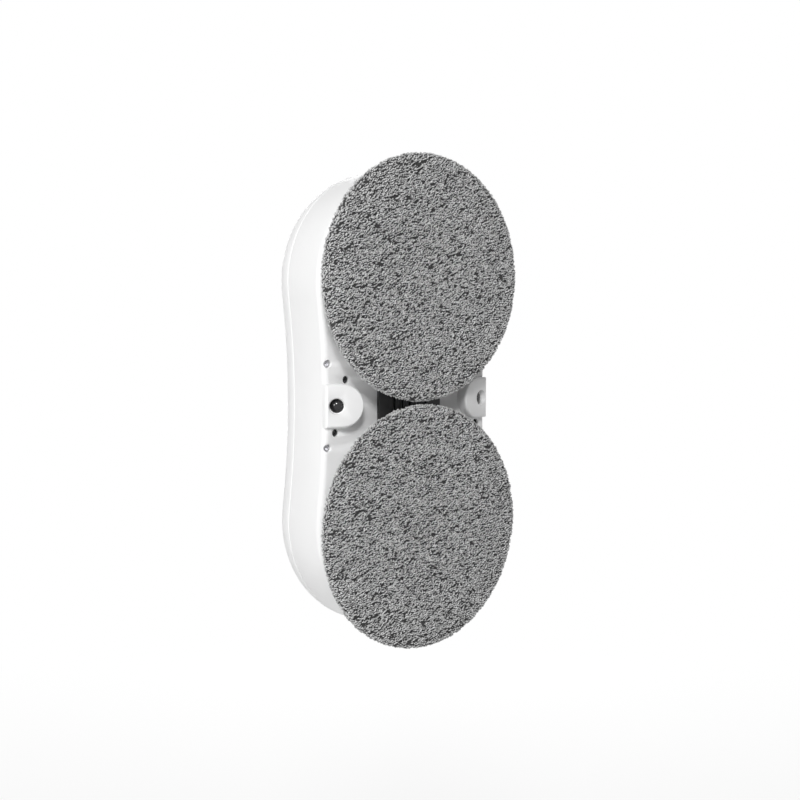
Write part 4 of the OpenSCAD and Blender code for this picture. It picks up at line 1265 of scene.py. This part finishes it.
@dataclass
class Underside:
    """Small pieces on the glass side: the slotted panel, the port sensors, the well screws and the seals."""

    levels: Levels
    palette: Palette
    panel_cut: float = 40 * MM
    slots: int = 5
    slot_pitch: float = 6 * MM
    slot_w: float = 2.4 * MM
    slot_l: float = 30 * MM
    head_r: float = 2.2 * MM
    head_h: float = 1.5 * MM
    shank_r: float = 1.25 * MM
    recess_r: float = 1.1 * MM
    recess_h: float = 0.9 * MM
    head_round: float = 0.5 * MM
    tip_r: float = 0.3 * MM
    tip_h: float = 1 * MM
    panel_edge: float = 0.2 * MM
    lens_foot: float = 0.9 * MM
    lens_fit: float = 0.98
    lens_reach: float = 0.96
    seal_w: float = 6 * MM
    seal_bevel: float = 0.8 * MM
    seal_draft: float = 0.3 * MM
    seal_edge: float = 0.4 * MM

    def build(self) -> None:
        """Make every piece and put each in place of its CAD node."""
        self.panel()
        self.ports()
        self.screws()
        for end in End:
            self.seal(end)

    def panel(self) -> None:
        """Dark panel with slots that have round ends, cut round both wheels; its dark colour partly stands in
        as painted shade for the gap between the pads.
        """
        low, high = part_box("centre_panel")
        half = math.degrees(math.asin(high.x / self.panel_cut))
        upper = arc((0.0, self.levels.wheel_z), self.panel_cut, -90 + half, -90 - half, 36)
        outline = upper + [(-x, -z) for x, z in upper]
        rings = [np.array([(x, y, z) for x, z in outline]) for y in (low.y, high.y)]
        tools = []
        for i in range(self.slots):
            x = (i - (self.slots - 1) / 2) * self.slot_pitch
            run = self.slot_l / 2 - self.slot_w / 2
            ends = arc((x, run), self.slot_w / 2, 0, 180, 12) + arc((x, -run), self.slot_w / 2, 180, 360, 12)
            tools.append(loft("slot", [np.array([(px, y, pz) for px, pz in ends])
                                       for y in (low.y - OVERCUT, high.y + OVERCUT)]))
        panel = soften(cut(loft("slotted_panel", rings), tools), self.panel_edge)
        # Painted shade: the panel's near-black plastic is partly its own colour and partly stands for the
        # shade that falls in the deep gap between the pads.
        publish(panel, self.palette, "dark_plastic", CHASSIS, "centre_panel")

    def ports(self) -> None:
        """Four dark lenses in the ports."""
        low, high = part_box("port_sensors")
        lv = self.levels
        ball_r = 2 * lv.port_r
        edge = math.asin(lv.port_r * self.lens_reach / ball_r)
        lens = [(ball_r * math.sin(a), low.y + ball_r * (1 - math.cos(a))) for a in np.linspace(0, edge, 8)]
        lens_r = lv.port_r * self.lens_fit
        lens += [(lens_r, low.y + self.lens_foot), (lens_r, high.y), (0.0, high.y)]
        unit = turned("port_lens", lens, (0.0, 0.0), 40)
        places = [(side.value * x, 0.0, z) for side in Side for x, z in (lv.port_up, lv.port_low)]
        lenses = repeated("port_lenses", unit, places, self.palette.materials["black_plastic"])
        publish(smooth(lenses), self.palette, "black_plastic", CHASSIS, "port_sensors")

    def screws(self) -> None:
        """Four steel screws deep in the wells, with hexagonal recesses."""
        low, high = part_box("housing_screws")
        bend, under = self.head_round, low.y + self.head_h
        crown = arc((self.head_r - bend, low.y + bend), bend, 270, 360, 4)
        profile = [(0.0, low.y), *crown, (self.head_r, under), (self.shank_r, under),
                   (self.shank_r, high.y - self.tip_h), (self.tip_r, high.y), (0.0, high.y)]
        head = turned("screw", profile, (0.0, 0.0), 48)
        recess = rod(0.0, 0.0, self.recess_r, low.y - OVERCUT, low.y + self.recess_h, 6)
        unit = cut(head, [recess])
        well_x, well_z = self.levels.well
        places = [(side.value * well_x, 0.0, z) for side in Side for z in (well_z, -well_z)]
        screws = repeated("well_screws", unit, places, self.palette.materials["steel"])
        publish(smooth(screws), self.palette, "steel", CHASSIS, "housing_screws")

    def seal(self, end: End) -> None:
        """Felt ring between a wheel and the floor of the tray."""
        low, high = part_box(f"{end.value}_seal")
        outer = (high.x - low.x) / 2
        inner, foot = outer - self.seal_w, low.y + self.seal_bevel
        profile = [(inner + self.seal_draft, high.y), (inner, foot), (inner + self.seal_bevel, low.y),
                   (outer - self.seal_bevel, low.y), (outer, foot), (outer - self.seal_draft, high.y)]
        ring = turned("seal", profile, (0.0, end.sign * self.levels.wheel_z), 128)
        ring.name = f"{end.value}_felt_ring"
        publish(soften(ring, self.seal_edge), self.palette, "felt", CHASSIS, f"{end.value}_seal")


@dataclass
class WheelSet:
    """Wheel and hook disc behind one fleece pad."""

    end: End
    levels: Levels
    palette: Palette
    edge: float = 0.3 * MM
    hole_r: float = 14.5 * MM

    def build(self) -> None:
        """Round the wheel's edges and lay the disc of hooks on it."""
        name = self.end.value
        refined(self.palette, f"{name}_wheel", self.end.body, self.edge)
        low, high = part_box(f"{name}_hook_disc")
        outer = (high.x - low.x) / 2
        profile = [(self.hole_r, low.y), (outer - self.edge, low.y), (outer, low.y + self.edge),
                   (outer, high.y), (self.hole_r, high.y)]
        disc = turned("disc", profile, (0.0, self.end.sign * self.levels.wheel_z))
        disc.name = f"{name}_hooks"
        publish(smooth(disc), self.palette, "hook_fabric", self.end.body, f"{name}_hook_disc")


@dataclass
class Controls:
    """Start button in its light ring, power switch, receiver window, power inlet and tether eye."""

    palette: Palette
    button_r: float = 8 * MM
    flange_r: float = 9.6 * MM
    stem_r: float = 2 * MM
    guide: float = 5.1 * MM
    dish_r: float = 6.2 * MM
    dish: float = 0.45 * MM
    pin_r: float = 1.4 * MM
    pin_drop: float = 0.6 * MM
    pin_end: float = 6.1 * MM
    pin_room: float = 0.07 * MM
    cap_wall: float = 0.5 * MM
    cap_inner: float = 5.0 * MM
    frame_edge: float = 0.3 * MM
    flange_h: float = 1.4 * MM
    button_round: float = 0.8 * MM
    ring_gap: float = 0.3 * MM
    ring_round: float = 0.7 * MM
    window_rim: float = 1.5 * MM
    window_foot: float = 1.2 * MM
    window_dome: float = 0.5 * MM

    def build(self) -> None:
        """Make every piece and put each in place of its CAD node."""
        self.button()
        refined(self.palette, "power_switch", CHASSIS, self.frame_edge, added=self.pin_caps())
        for node, body, width in (("power_rocker", "power_rocker_cap", 0.5), ("dc_socket", CHASSIS, 0.25),
                                  ("tether_eye", CHASSIS, 0.8), ("tether_nut", CHASSIS, 0.3)):
            refined(self.palette, node, body, width * MM)
        self.window()

    def pin_caps(self) -> list[bpy.types.Object]:
        """Half-round caps that close the switch's frame over the hinge pins of its rocker."""
        low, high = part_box("power_switch")
        middle, axis_y = (low.z + high.z) / 2, high.y - self.pin_drop
        outer = self.pin_r + self.cap_wall
        section = [(outer, -self.pin_drop), *arc((0.0, 0.0), outer, 0, 180, 16), (-outer, -self.pin_drop)]
        caps = []
        for side in Side:
            ends = sorted((side.value * self.cap_inner, side.value * high.x))
            cap = loft("pin_cap", [np.array([(x, axis_y + y, middle + z) for z, y in section])
                                   for x in ends])
            run = sorted((side.value * (self.cap_inner - self.cap_wall), side.value * self.pin_end))
            hole = across_rod(axis_y, self.pin_r + self.pin_room, *run)
            hole.data.transform(Matrix.Translation((0.0, 0.0, middle)))
            caps.append(cut(cap, [hole]))
        return caps

    def button(self) -> None:
        """Round push button with a shallow dish, in its translucent ring."""
        low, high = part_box("start_button")
        ring_low, ring_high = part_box("button_ring")
        centre = (low.z + high.z) / 2
        shelf = ring_low.y - self.guide
        under, bend = shelf - self.flange_h, self.button_round
        profile = [(0.0, low.y), (self.stem_r, low.y), (self.stem_r, under), (self.flange_r, under),
                   (self.flange_r, shelf), (self.button_r, shelf)]
        profile += arc((self.button_r - bend, high.y - bend), bend, 0, 90, 7)
        profile += [(self.dish_r * math.cos(a), high.y - self.dish * math.sin(a))
                    for a in np.radians(np.linspace(0, 90, 10))]
        button = turned("start_cap", profile, (0.0, centre), 128)
        publish(smooth(button, 25.0), self.palette, "shell_white", "start_button_cap", "start_button")
        outer = (ring_high.x - ring_low.x) / 2
        ring = round_ring(self.button_r + self.ring_gap, outer, ring_low.y, ring_high.y,
                          self.ring_round, centre)
        ring.name = "button_light"
        publish(smooth(ring), self.palette, "light_ring", CHASSIS, "button_ring")

    def window(self) -> None:
        """Dark red window of the remote's receiver, slightly domed."""
        low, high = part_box("remote_window")
        radius = (high.x - low.x) / 2
        lens_r, rim_top, dome = radius - self.window_rim, low.y + self.window_foot, self.window_dome
        profile = [(0.0, low.y), (radius, low.y), (radius, rim_top), (lens_r, rim_top),
                   (lens_r, high.y - dome)]
        profile += [(lens_r * math.cos(a), high.y - dome * (1 - math.sin(a)))
                    for a in np.radians(np.linspace(15, 90, 8))]
        window = turned("receiver_window", profile, (0.0, (low.z + high.z) / 2), 64)
        publish(smooth(window, 40.0), self.palette, "infrared_window", CHASSIS, "remote_window")


# Pads


@dataclass
class FleecePad:
    """Round pad of looped fleece: a puffed base cushion under thousands of yarn loops in loose rows."""

    end: End
    palette: Palette
    row_slope: float
    lay: float = 14.0
    rim_gap: float = 1.3 * MM
    face_gap: float = 1.5 * MM
    edge_r: float = 3.0 * MM
    voxel: float = 2.4 * MM
    pressure: float = 0.4
    frames: int = 18
    reach: float = 1.5 * MM
    loop_gap: float = 0.88 * MM
    loop_span: float = 0.78 * MM
    loop_rise: float = 2.1 * MM
    yarn_r: float = 0.37 * MM
    furrow_depth: float = 1.3 * MM
    furrow_from: float = 0.445
    furrow_to: float = 0.36
    row_grain: tuple[float, float, float] = (200.0, 200.0, 880.0)
    bare_share: float = 0.05
    loop_sizes: tuple[float, float] = (0.72, 1.22)
    loop_root: float = 0.3 * MM
    tips: tuple[float, float, float] = (0.6, 0.35, 0.6)
    back_held: float = 2 * MM
    back_edge: float = 1.0 * MM
    back_limit: float = 0.8
    back_facing: float = 0.5
    back_height: float = 0.5
    seed: int = 7

    def build(self) -> None:
        """Make the pad and put it in place of its CAD node."""
        node = f"{self.end.value}_pad"
        low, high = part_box(node)
        base = self.base(low, high)
        self.puff(base, high.y - self.back_held)
        self.fit(base, low, high)
        pad = self.pile(base)
        pad.name = f"{self.end.value}_fleece"
        publish(smooth(pad, 180.0), self.palette, "fleece", self.end.body, node)

    def base(self, low: Vector, high: Vector) -> bpy.types.Object:
        """Cushion with a rounded rim, smaller than the CAD pad by the room that its loops need."""
        centre = (0.0, (low.z + high.z) / 2)
        rim = (high.x - low.x) / 2 - self.rim_gap
        front = low.y + self.face_gap
        profile = [(0.0, front), *arc((rim - self.edge_r, front + self.edge_r), self.edge_r, -90, 0, 6),
                   (rim, high.y - self.back_edge), (rim - self.back_edge, high.y), (0.0, high.y)]
        return remeshed(turned("pad_base", profile, centre, 96), self.voxel)

    def puff(self, base: bpy.types.Object, pinned_from: float) -> None:
        """Blow the cushion up a little as cloth, with its back held flat."""
        start = points_of(base)
        held = base.vertex_groups.new(name="back")
        held.add([int(i) for i in np.flatnonzero(start[:, 1] > pinned_from)], 1.0, "REPLACE")
        cloth = base.modifiers.new("cloth", "CLOTH")
        cloth.settings.quality = 5
        cloth.settings.mass = 0.2
        cloth.settings.use_pressure = True
        cloth.settings.uniform_pressure_force = self.pressure
        cloth.settings.effector_weights.gravity = 0.0
        cloth.settings.vertex_group_mass = held.name
        cloth.collision_settings.use_collision = False
        scene = bpy.context.scene
        for step in range(1, self.frames + 1):
            scene.frame_set(step)
        settle(base)
        scene.frame_set(1)
        moved = points_of(base) - start
        far = np.linalg.norm(moved, axis=1, keepdims=True)
        kept = start + moved * np.minimum(1.0, self.reach / np.maximum(far, 1e-9))
        base.data.vertices.foreach_set("co", kept.ravel())
        base.data.update()

    def fit(self, base: bpy.types.Object, low: Vector, high: Vector) -> None:
        """Stretch the cushion to the room that the CAD pad leaves for it under the loops."""
        points = points_of(base)
        gap = np.array([self.rim_gap, 0.0, self.rim_gap])
        room_low = np.array(low) + gap + np.array([0.0, self.face_gap, 0.0])
        room_high = np.array(high) - gap
        own_low, own_high = points.min(axis=0), points.max(axis=0)
        share = (points - own_low) / (own_high - own_low)
        base.data.vertices.foreach_set("co", (room_low + share * (room_high - room_low)).ravel())
        base.data.update()

    def pile(self, base: bpy.types.Object) -> bpy.types.Object:
        """Cover the face and the rim with loops of yarn, thinner and lower along wavy furrows, with painted
        shade on the sunk loops and on the bare cloth between them.
        """
        recipe = Recipe("fleece_pile", Gap=self.loop_gap, Seed=self.seed, Depth=self.furrow_depth,
                        Yarn=self.yarn_r, Slope=math.radians(self.row_slope))
        skin = recipe.source.outputs["Geometry"]
        spread = recipe.node("GeometryNodeDistributePointsOnFaces", {
            "Mesh": skin, "Distance Min": recipe.size("Gap"), "Density Max": 5.0e6,
            "Seed": recipe.size("Seed")}, distribute_method="POISSON")
        normal = spread.outputs["Normal"]
        away = recipe.node("ShaderNodeSeparateXYZ", {0: normal}).outputs[1]
        furrow = self.furrow(recipe)
        bare = recipe.maths("LESS_THAN", recipe.chance(0.0, 1.0, 11),
                            recipe.maths("MULTIPLY", furrow, self.bare_share))
        gone = recipe.maths("MAXIMUM", recipe.maths("GREATER_THAN", away, self.back_limit), bare)
        kept = recipe.node("GeometryNodeDeleteGeometry", {
            "Geometry": spread.outputs["Points"], "Selection": gone})
        down = recipe.maths("MULTIPLY", furrow, recipe.maths("MULTIPLY", recipe.size("Depth"), -1.0))
        sunk = recipe.node("ShaderNodeVectorMath", {0: normal, "Scale": down}, operation="SCALE")
        # Lift is 1 minus the furrow depth; the fleece material paints shade on loops with low lift.
        points = recipe.store(kept.outputs[0], "lift", recipe.maths("SUBTRACT", 1.0, furrow))
        placed = recipe.node("GeometryNodeSetPosition", {"Geometry": points, "Offset": sunk.outputs[0]})
        loops = recipe.node("GeometryNodeInstanceOnPoints", {
            "Points": placed.outputs[0], "Instance": self.loop(recipe),
            "Rotation": self.lean(recipe, normal), "Scale": recipe.chance(*self.loop_sizes, 12)})
        toned = recipe.store(loops.outputs[0], "tone", recipe.chance(0.0, 1.0, 13), "INSTANCE")
        # The bare cushion's front gets the dark root colour as painted shade between the loops; faces turned
        # to the back keep a mid grey as the cloth's own colour.
        facing = recipe.node("ShaderNodeSeparateXYZ", {0: recipe.node("GeometryNodeInputNormal").outputs[0]})
        back = recipe.maths("GREATER_THAN", facing.outputs[1], self.back_facing)
        ground = recipe.store(recipe.store(skin, "lift", back), "height",
                              recipe.maths("MULTIPLY", back, self.back_height))
        ground = recipe.store(ground, "tone", 0.5)
        whole = recipe.node("GeometryNodeJoinGeometry")
        recipe.tree.links.new(ground, whole.inputs[0])
        recipe.tree.links.new(toned, whole.inputs[0])
        return recipe.apply(base, whole.outputs[0], self.palette.materials["fleece"])

    def furrow(self, recipe: Recipe) -> bpy.types.NodeSocket:
        """How deep each place lies in a furrow, from 0 to 1, in rows that slope across the pad."""
        place = recipe.node("GeometryNodeInputPosition").outputs[0]
        turned_place = recipe.node("ShaderNodeVectorRotate", {
            "Vector": place, "Axis": (0.0, 1.0, 0.0), "Angle": recipe.size("Slope")},
            rotation_type="AXIS_ANGLE").outputs[0]
        row = recipe.node("ShaderNodeVectorMath", {0: turned_place, 1: self.row_grain},
                          operation="MULTIPLY").outputs[0]
        field = recipe.node("ShaderNodeTexNoise", {"Vector": row, "Scale": 1.0, "Detail": 2.5,
                                                   "Distortion": 0.6})
        return recipe.node("ShaderNodeMapRange", {
            "Value": field.outputs[0], "From Min": self.furrow_from, "From Max": self.furrow_to,
            "To Min": 0.0, "To Max": 1.0}).outputs[0]

    def loop(self, recipe: Recipe) -> bpy.types.NodeSocket:
        """One arched loop of yarn with a few dozen faces."""
        span, rise = self.loop_span, self.loop_rise
        arch = recipe.node("GeometryNodeCurveQuadraticBezier", {
            "Resolution": 3, "Start": (-span, 0.0, -self.loop_root),
            "Middle": (0.25 * span, 0.3 * span, rise), "End": (span, 0.0, -self.loop_root)})
        along = recipe.node("GeometryNodeSplineParameter").outputs["Factor"]
        # Height runs from 0 at the loop's roots to 1 at its top; the fleece material paints shade by it,
        # darkest at the roots.
        height = recipe.maths("POWER", recipe.maths("SINE", recipe.maths("MULTIPLY", along, math.pi)), 0.6)
        marked = recipe.store(arch.outputs[0], "height", height)
        section = recipe.node("GeometryNodeCurvePrimitiveCircle", {
            "Resolution": 4, "Radius": recipe.size("Yarn")})
        tube_mesh = recipe.node("GeometryNodeCurveToMesh", {
            "Curve": marked, "Profile Curve": section.outputs[0], "Fill Caps": True})
        return tube_mesh.outputs[0]

    def lean(self, recipe: Recipe, normal: bpy.types.NodeSocket) -> bpy.types.NodeSocket:
        """Rotation of each loop: up from the surface, mostly along its row, and tipped at random."""
        upright = recipe.node("FunctionNodeAlignRotationToVector", {"Vector": normal}, axis="Z").outputs[0]
        row = math.radians(self.row_slope + self.lay)
        combed = recipe.node("FunctionNodeAlignRotationToVector", {
            "Rotation": upright, "Vector": (math.cos(row), 0.0, math.sin(row))},
            axis="X", pivot_axis="Z").outputs[0]
        tip = recipe.vector(*(recipe.chance(-most, most, 14 + i) for i, most in enumerate(self.tips)))
        tip_turn = recipe.node("FunctionNodeEulerToRotation", {0: tip}).outputs[0]
        return recipe.node("FunctionNodeRotateRotation", {0: combed, 1: tip_turn},
                           rotation_space="LOCAL").outputs[0]


def remeshed(obj: bpy.types.Object, voxel: float) -> bpy.types.Object:
    """Give an object an even mesh of small squares."""
    tool = obj.modifiers.new("even", "REMESH")
    tool.mode = "VOXEL"
    tool.voxel_size = voxel
    tool.adaptivity = 0.0
    return settle(obj)


def points_of(obj: bpy.types.Object) -> np.ndarray:
    """Vertices of an object's mesh as an (n, 3) array."""
    flat = np.empty(len(obj.data.vertices) * 3)
    obj.data.vertices.foreach_get("co", flat)
    return flat.reshape(-1, 3)


# Scene


@dataclass(frozen=True)
class PhotoCamera:
    """Camera at the photograph's viewpoint, for a square frame."""

    target: tuple[float, float, float] = (-13.0 * MM, 10.8 * MM, 2.0 * MM)
    distance: float = 0.9
    azimuth: float = -38.96
    elevation: float = 4.54
    roll: float = 0.19
    lens: float = 67.7

    def build(self) -> None:
        """Create the camera and make it the scene's own."""
        a, e = math.radians(self.azimuth), math.radians(self.elevation)
        back = Vector((math.sin(a) * math.cos(e), -math.cos(a) * math.cos(e), math.sin(e)))
        right = Vector((math.cos(a), math.sin(a), 0.0))
        up = back.cross(right)
        data = bpy.data.cameras.new("photo_camera")
        data.sensor_width = 36.0
        data.lens = self.lens
        camera = bpy.data.objects.new("photo_camera", data)
        bpy.context.scene.collection.objects.link(camera)
        turn = Matrix((right, up, back)).transposed() @ Matrix.Rotation(math.radians(self.roll), 3, "Z")
        camera.matrix_world = Matrix.Translation(Vector(self.target) + back * self.distance) @ turn.to_4x4()
        bpy.context.scene.camera = camera


@dataclass(frozen=True)
class AreaLamp:
    """A square soft lamp aimed at the robot."""

    name: str
    place: tuple[float, float, float]
    size: float
    watts: float
    aim: tuple[float, float, float] = (0.0, 0.03, 0.0)

    def build(self) -> None:
        """Create the lamp."""
        data = bpy.data.lights.new(self.name, "AREA")
        data.size = self.size
        data.energy = self.watts
        lamp = bpy.data.objects.new(self.name, data)
        lamp.location = self.place
        way = Vector(self.aim) - Vector(self.place)
        lamp.rotation_euler = way.to_track_quat("-Z", "Y").to_euler()
        bpy.context.scene.collection.objects.link(lamp)


LAMPS = (
    AreaLamp("key", (-1.0, -1.1, 1.05), 0.35, 18.0),
    AreaLamp("left", (-1.65, -0.33, 0.45), 0.45, 11.8),
    AreaLamp("fill", (1.2, -0.9, 0.0), 0.8, 0.5),
    AreaLamp("back", (1.0, 1.25, 0.15), 1.0, 16.0),
)


@dataclass
class Studio:
    """Pale floor, white surroundings and soft lamps."""

    floor_drop: float = 0.30
    floor_reach: float = 12.0
    floor_white: float = 0.85
    floor_fade: tuple[float, float, float, float] = (0.4, 1.3, 0.7, 1.0)
    world_level: float = 0.17

    def build(self) -> None:
        """Create the world, the floor and the lamps."""
        self.world()
        self.floor()
        for lamp in LAMPS:
            lamp.build()
        bpy.context.scene.view_settings.view_transform = "Standard"

    def world(self) -> None:
        """White for the camera and a level glow for everything else."""
        world = bpy.data.worlds.new("surroundings")
        world.use_nodes = True
        tree = world.node_tree
        glow = tree.nodes["Background"]
        white = tree.nodes.new("ShaderNodeBackground")
        glow.inputs["Strength"].default_value = self.world_level
        glow.inputs["Color"].default_value = (1, 1, 1, 1)
        white.inputs["Color"].default_value = (1, 1, 1, 1)
        white.inputs["Strength"].default_value = 1.0
        mix = tree.nodes.new("ShaderNodeMixShader")
        tree.links.new(seen_rays(tree), mix.inputs[0])
        tree.links.new(glow.outputs[0], mix.inputs[1])
        tree.links.new(white.outputs[0], mix.inputs[2])
        tree.links.new(mix.outputs[0], tree.nodes["World Output"].inputs["Surface"])
        bpy.context.scene.world = world

    def floor(self) -> None:
        """Pale floor below the robot, nearly white to the camera but keeping soft shadows."""
        reach, level = self.floor_reach, CAD_BOX[0].z - self.floor_drop
        obj = mesh_object("floor", [(-reach, -reach, level), (reach, -reach, level), (reach, reach, level),
                                    (-reach, reach, level)], [(0, 1, 2, 3)])
        material = bpy.data.materials.new("floor")
        material.use_nodes = True
        tree = material.node_tree
        body = tree.nodes["Principled BSDF"]
        body.inputs["Base Color"].default_value = (*[self.floor_white] * 3, 1)
        body.inputs["Roughness"].default_value = 0.9
        glow = tree.nodes.new("ShaderNodeEmission")
        place = tree.nodes.new("ShaderNodeTexCoord")
        far = tree.nodes.new("ShaderNodeVectorMath")
        far.operation = "LENGTH"
        fade = tree.nodes.new("ShaderNodeMapRange")
        for key, value in zip(("From Min", "From Max", "To Min", "To Max"), self.floor_fade):
            fade.inputs[key].default_value = value
        tree.links.new(place.outputs["Object"], far.inputs[0])
        tree.links.new(far.outputs["Value"], fade.inputs["Value"])
        share = tree.nodes.new("ShaderNodeMath")
        share.operation = "MULTIPLY"
        tree.links.new(fade.outputs["Result"], share.inputs[1])
        mix = tree.nodes.new("ShaderNodeMixShader")
        tree.links.new(seen_rays(tree), share.inputs[0])
        tree.links.new(share.outputs[0], mix.inputs[0])
        tree.links.new(body.outputs[0], mix.inputs[1])
        tree.links.new(glow.outputs[0], mix.inputs[2])
        tree.links.new(mix.outputs[0], tree.nodes["Material Output"].inputs["Surface"])
        obj.data.materials.append(material)


def seen_rays(tree: bpy.types.NodeTree) -> bpy.types.NodeSocket:
    """One for rays from the camera and for what gloss and glass show of the surroundings, else nought."""
    path = tree.nodes.new("ShaderNodeLightPath")
    total = path.outputs["Is Camera Ray"]
    for kind in ("Is Glossy Ray", "Is Transmission Ray"):
        either = tree.nodes.new("ShaderNodeMath")
        either.operation = "MAXIMUM"
        tree.links.new(total, either.inputs[0])
        tree.links.new(path.outputs[kind], either.inputs[1])
        total = either.outputs[0]
    return total


def main() -> None:
    """Build the robot and its studio in order."""
    logging.basicConfig(level=logging.INFO, format="%(name)s: %(message)s")
    palette = Palette()
    palette.dress_nodes()
    plan, levels = Plan(), Levels()
    HousingShell(plan, levels, palette).build()
    CoverShell(plan, levels, palette).build()
    for side in Side:
        SidePod(side, plan, levels, palette).build()
    CarryHandle(palette).build()
    ExhaustGrille(palette).build()
    Underside(levels, palette).build()
    Controls(palette).build()
    for end in End:
        WheelSet(end, levels, palette).build()
    FleecePad(End.UPPER, palette, row_slope=15.0, seed=7).build()
    FleecePad(End.LOWER, palette, row_slope=8.0, seed=23).build()
    PhotoCamera().build()
    Studio().build()


if __name__ == "__main__":
    main()
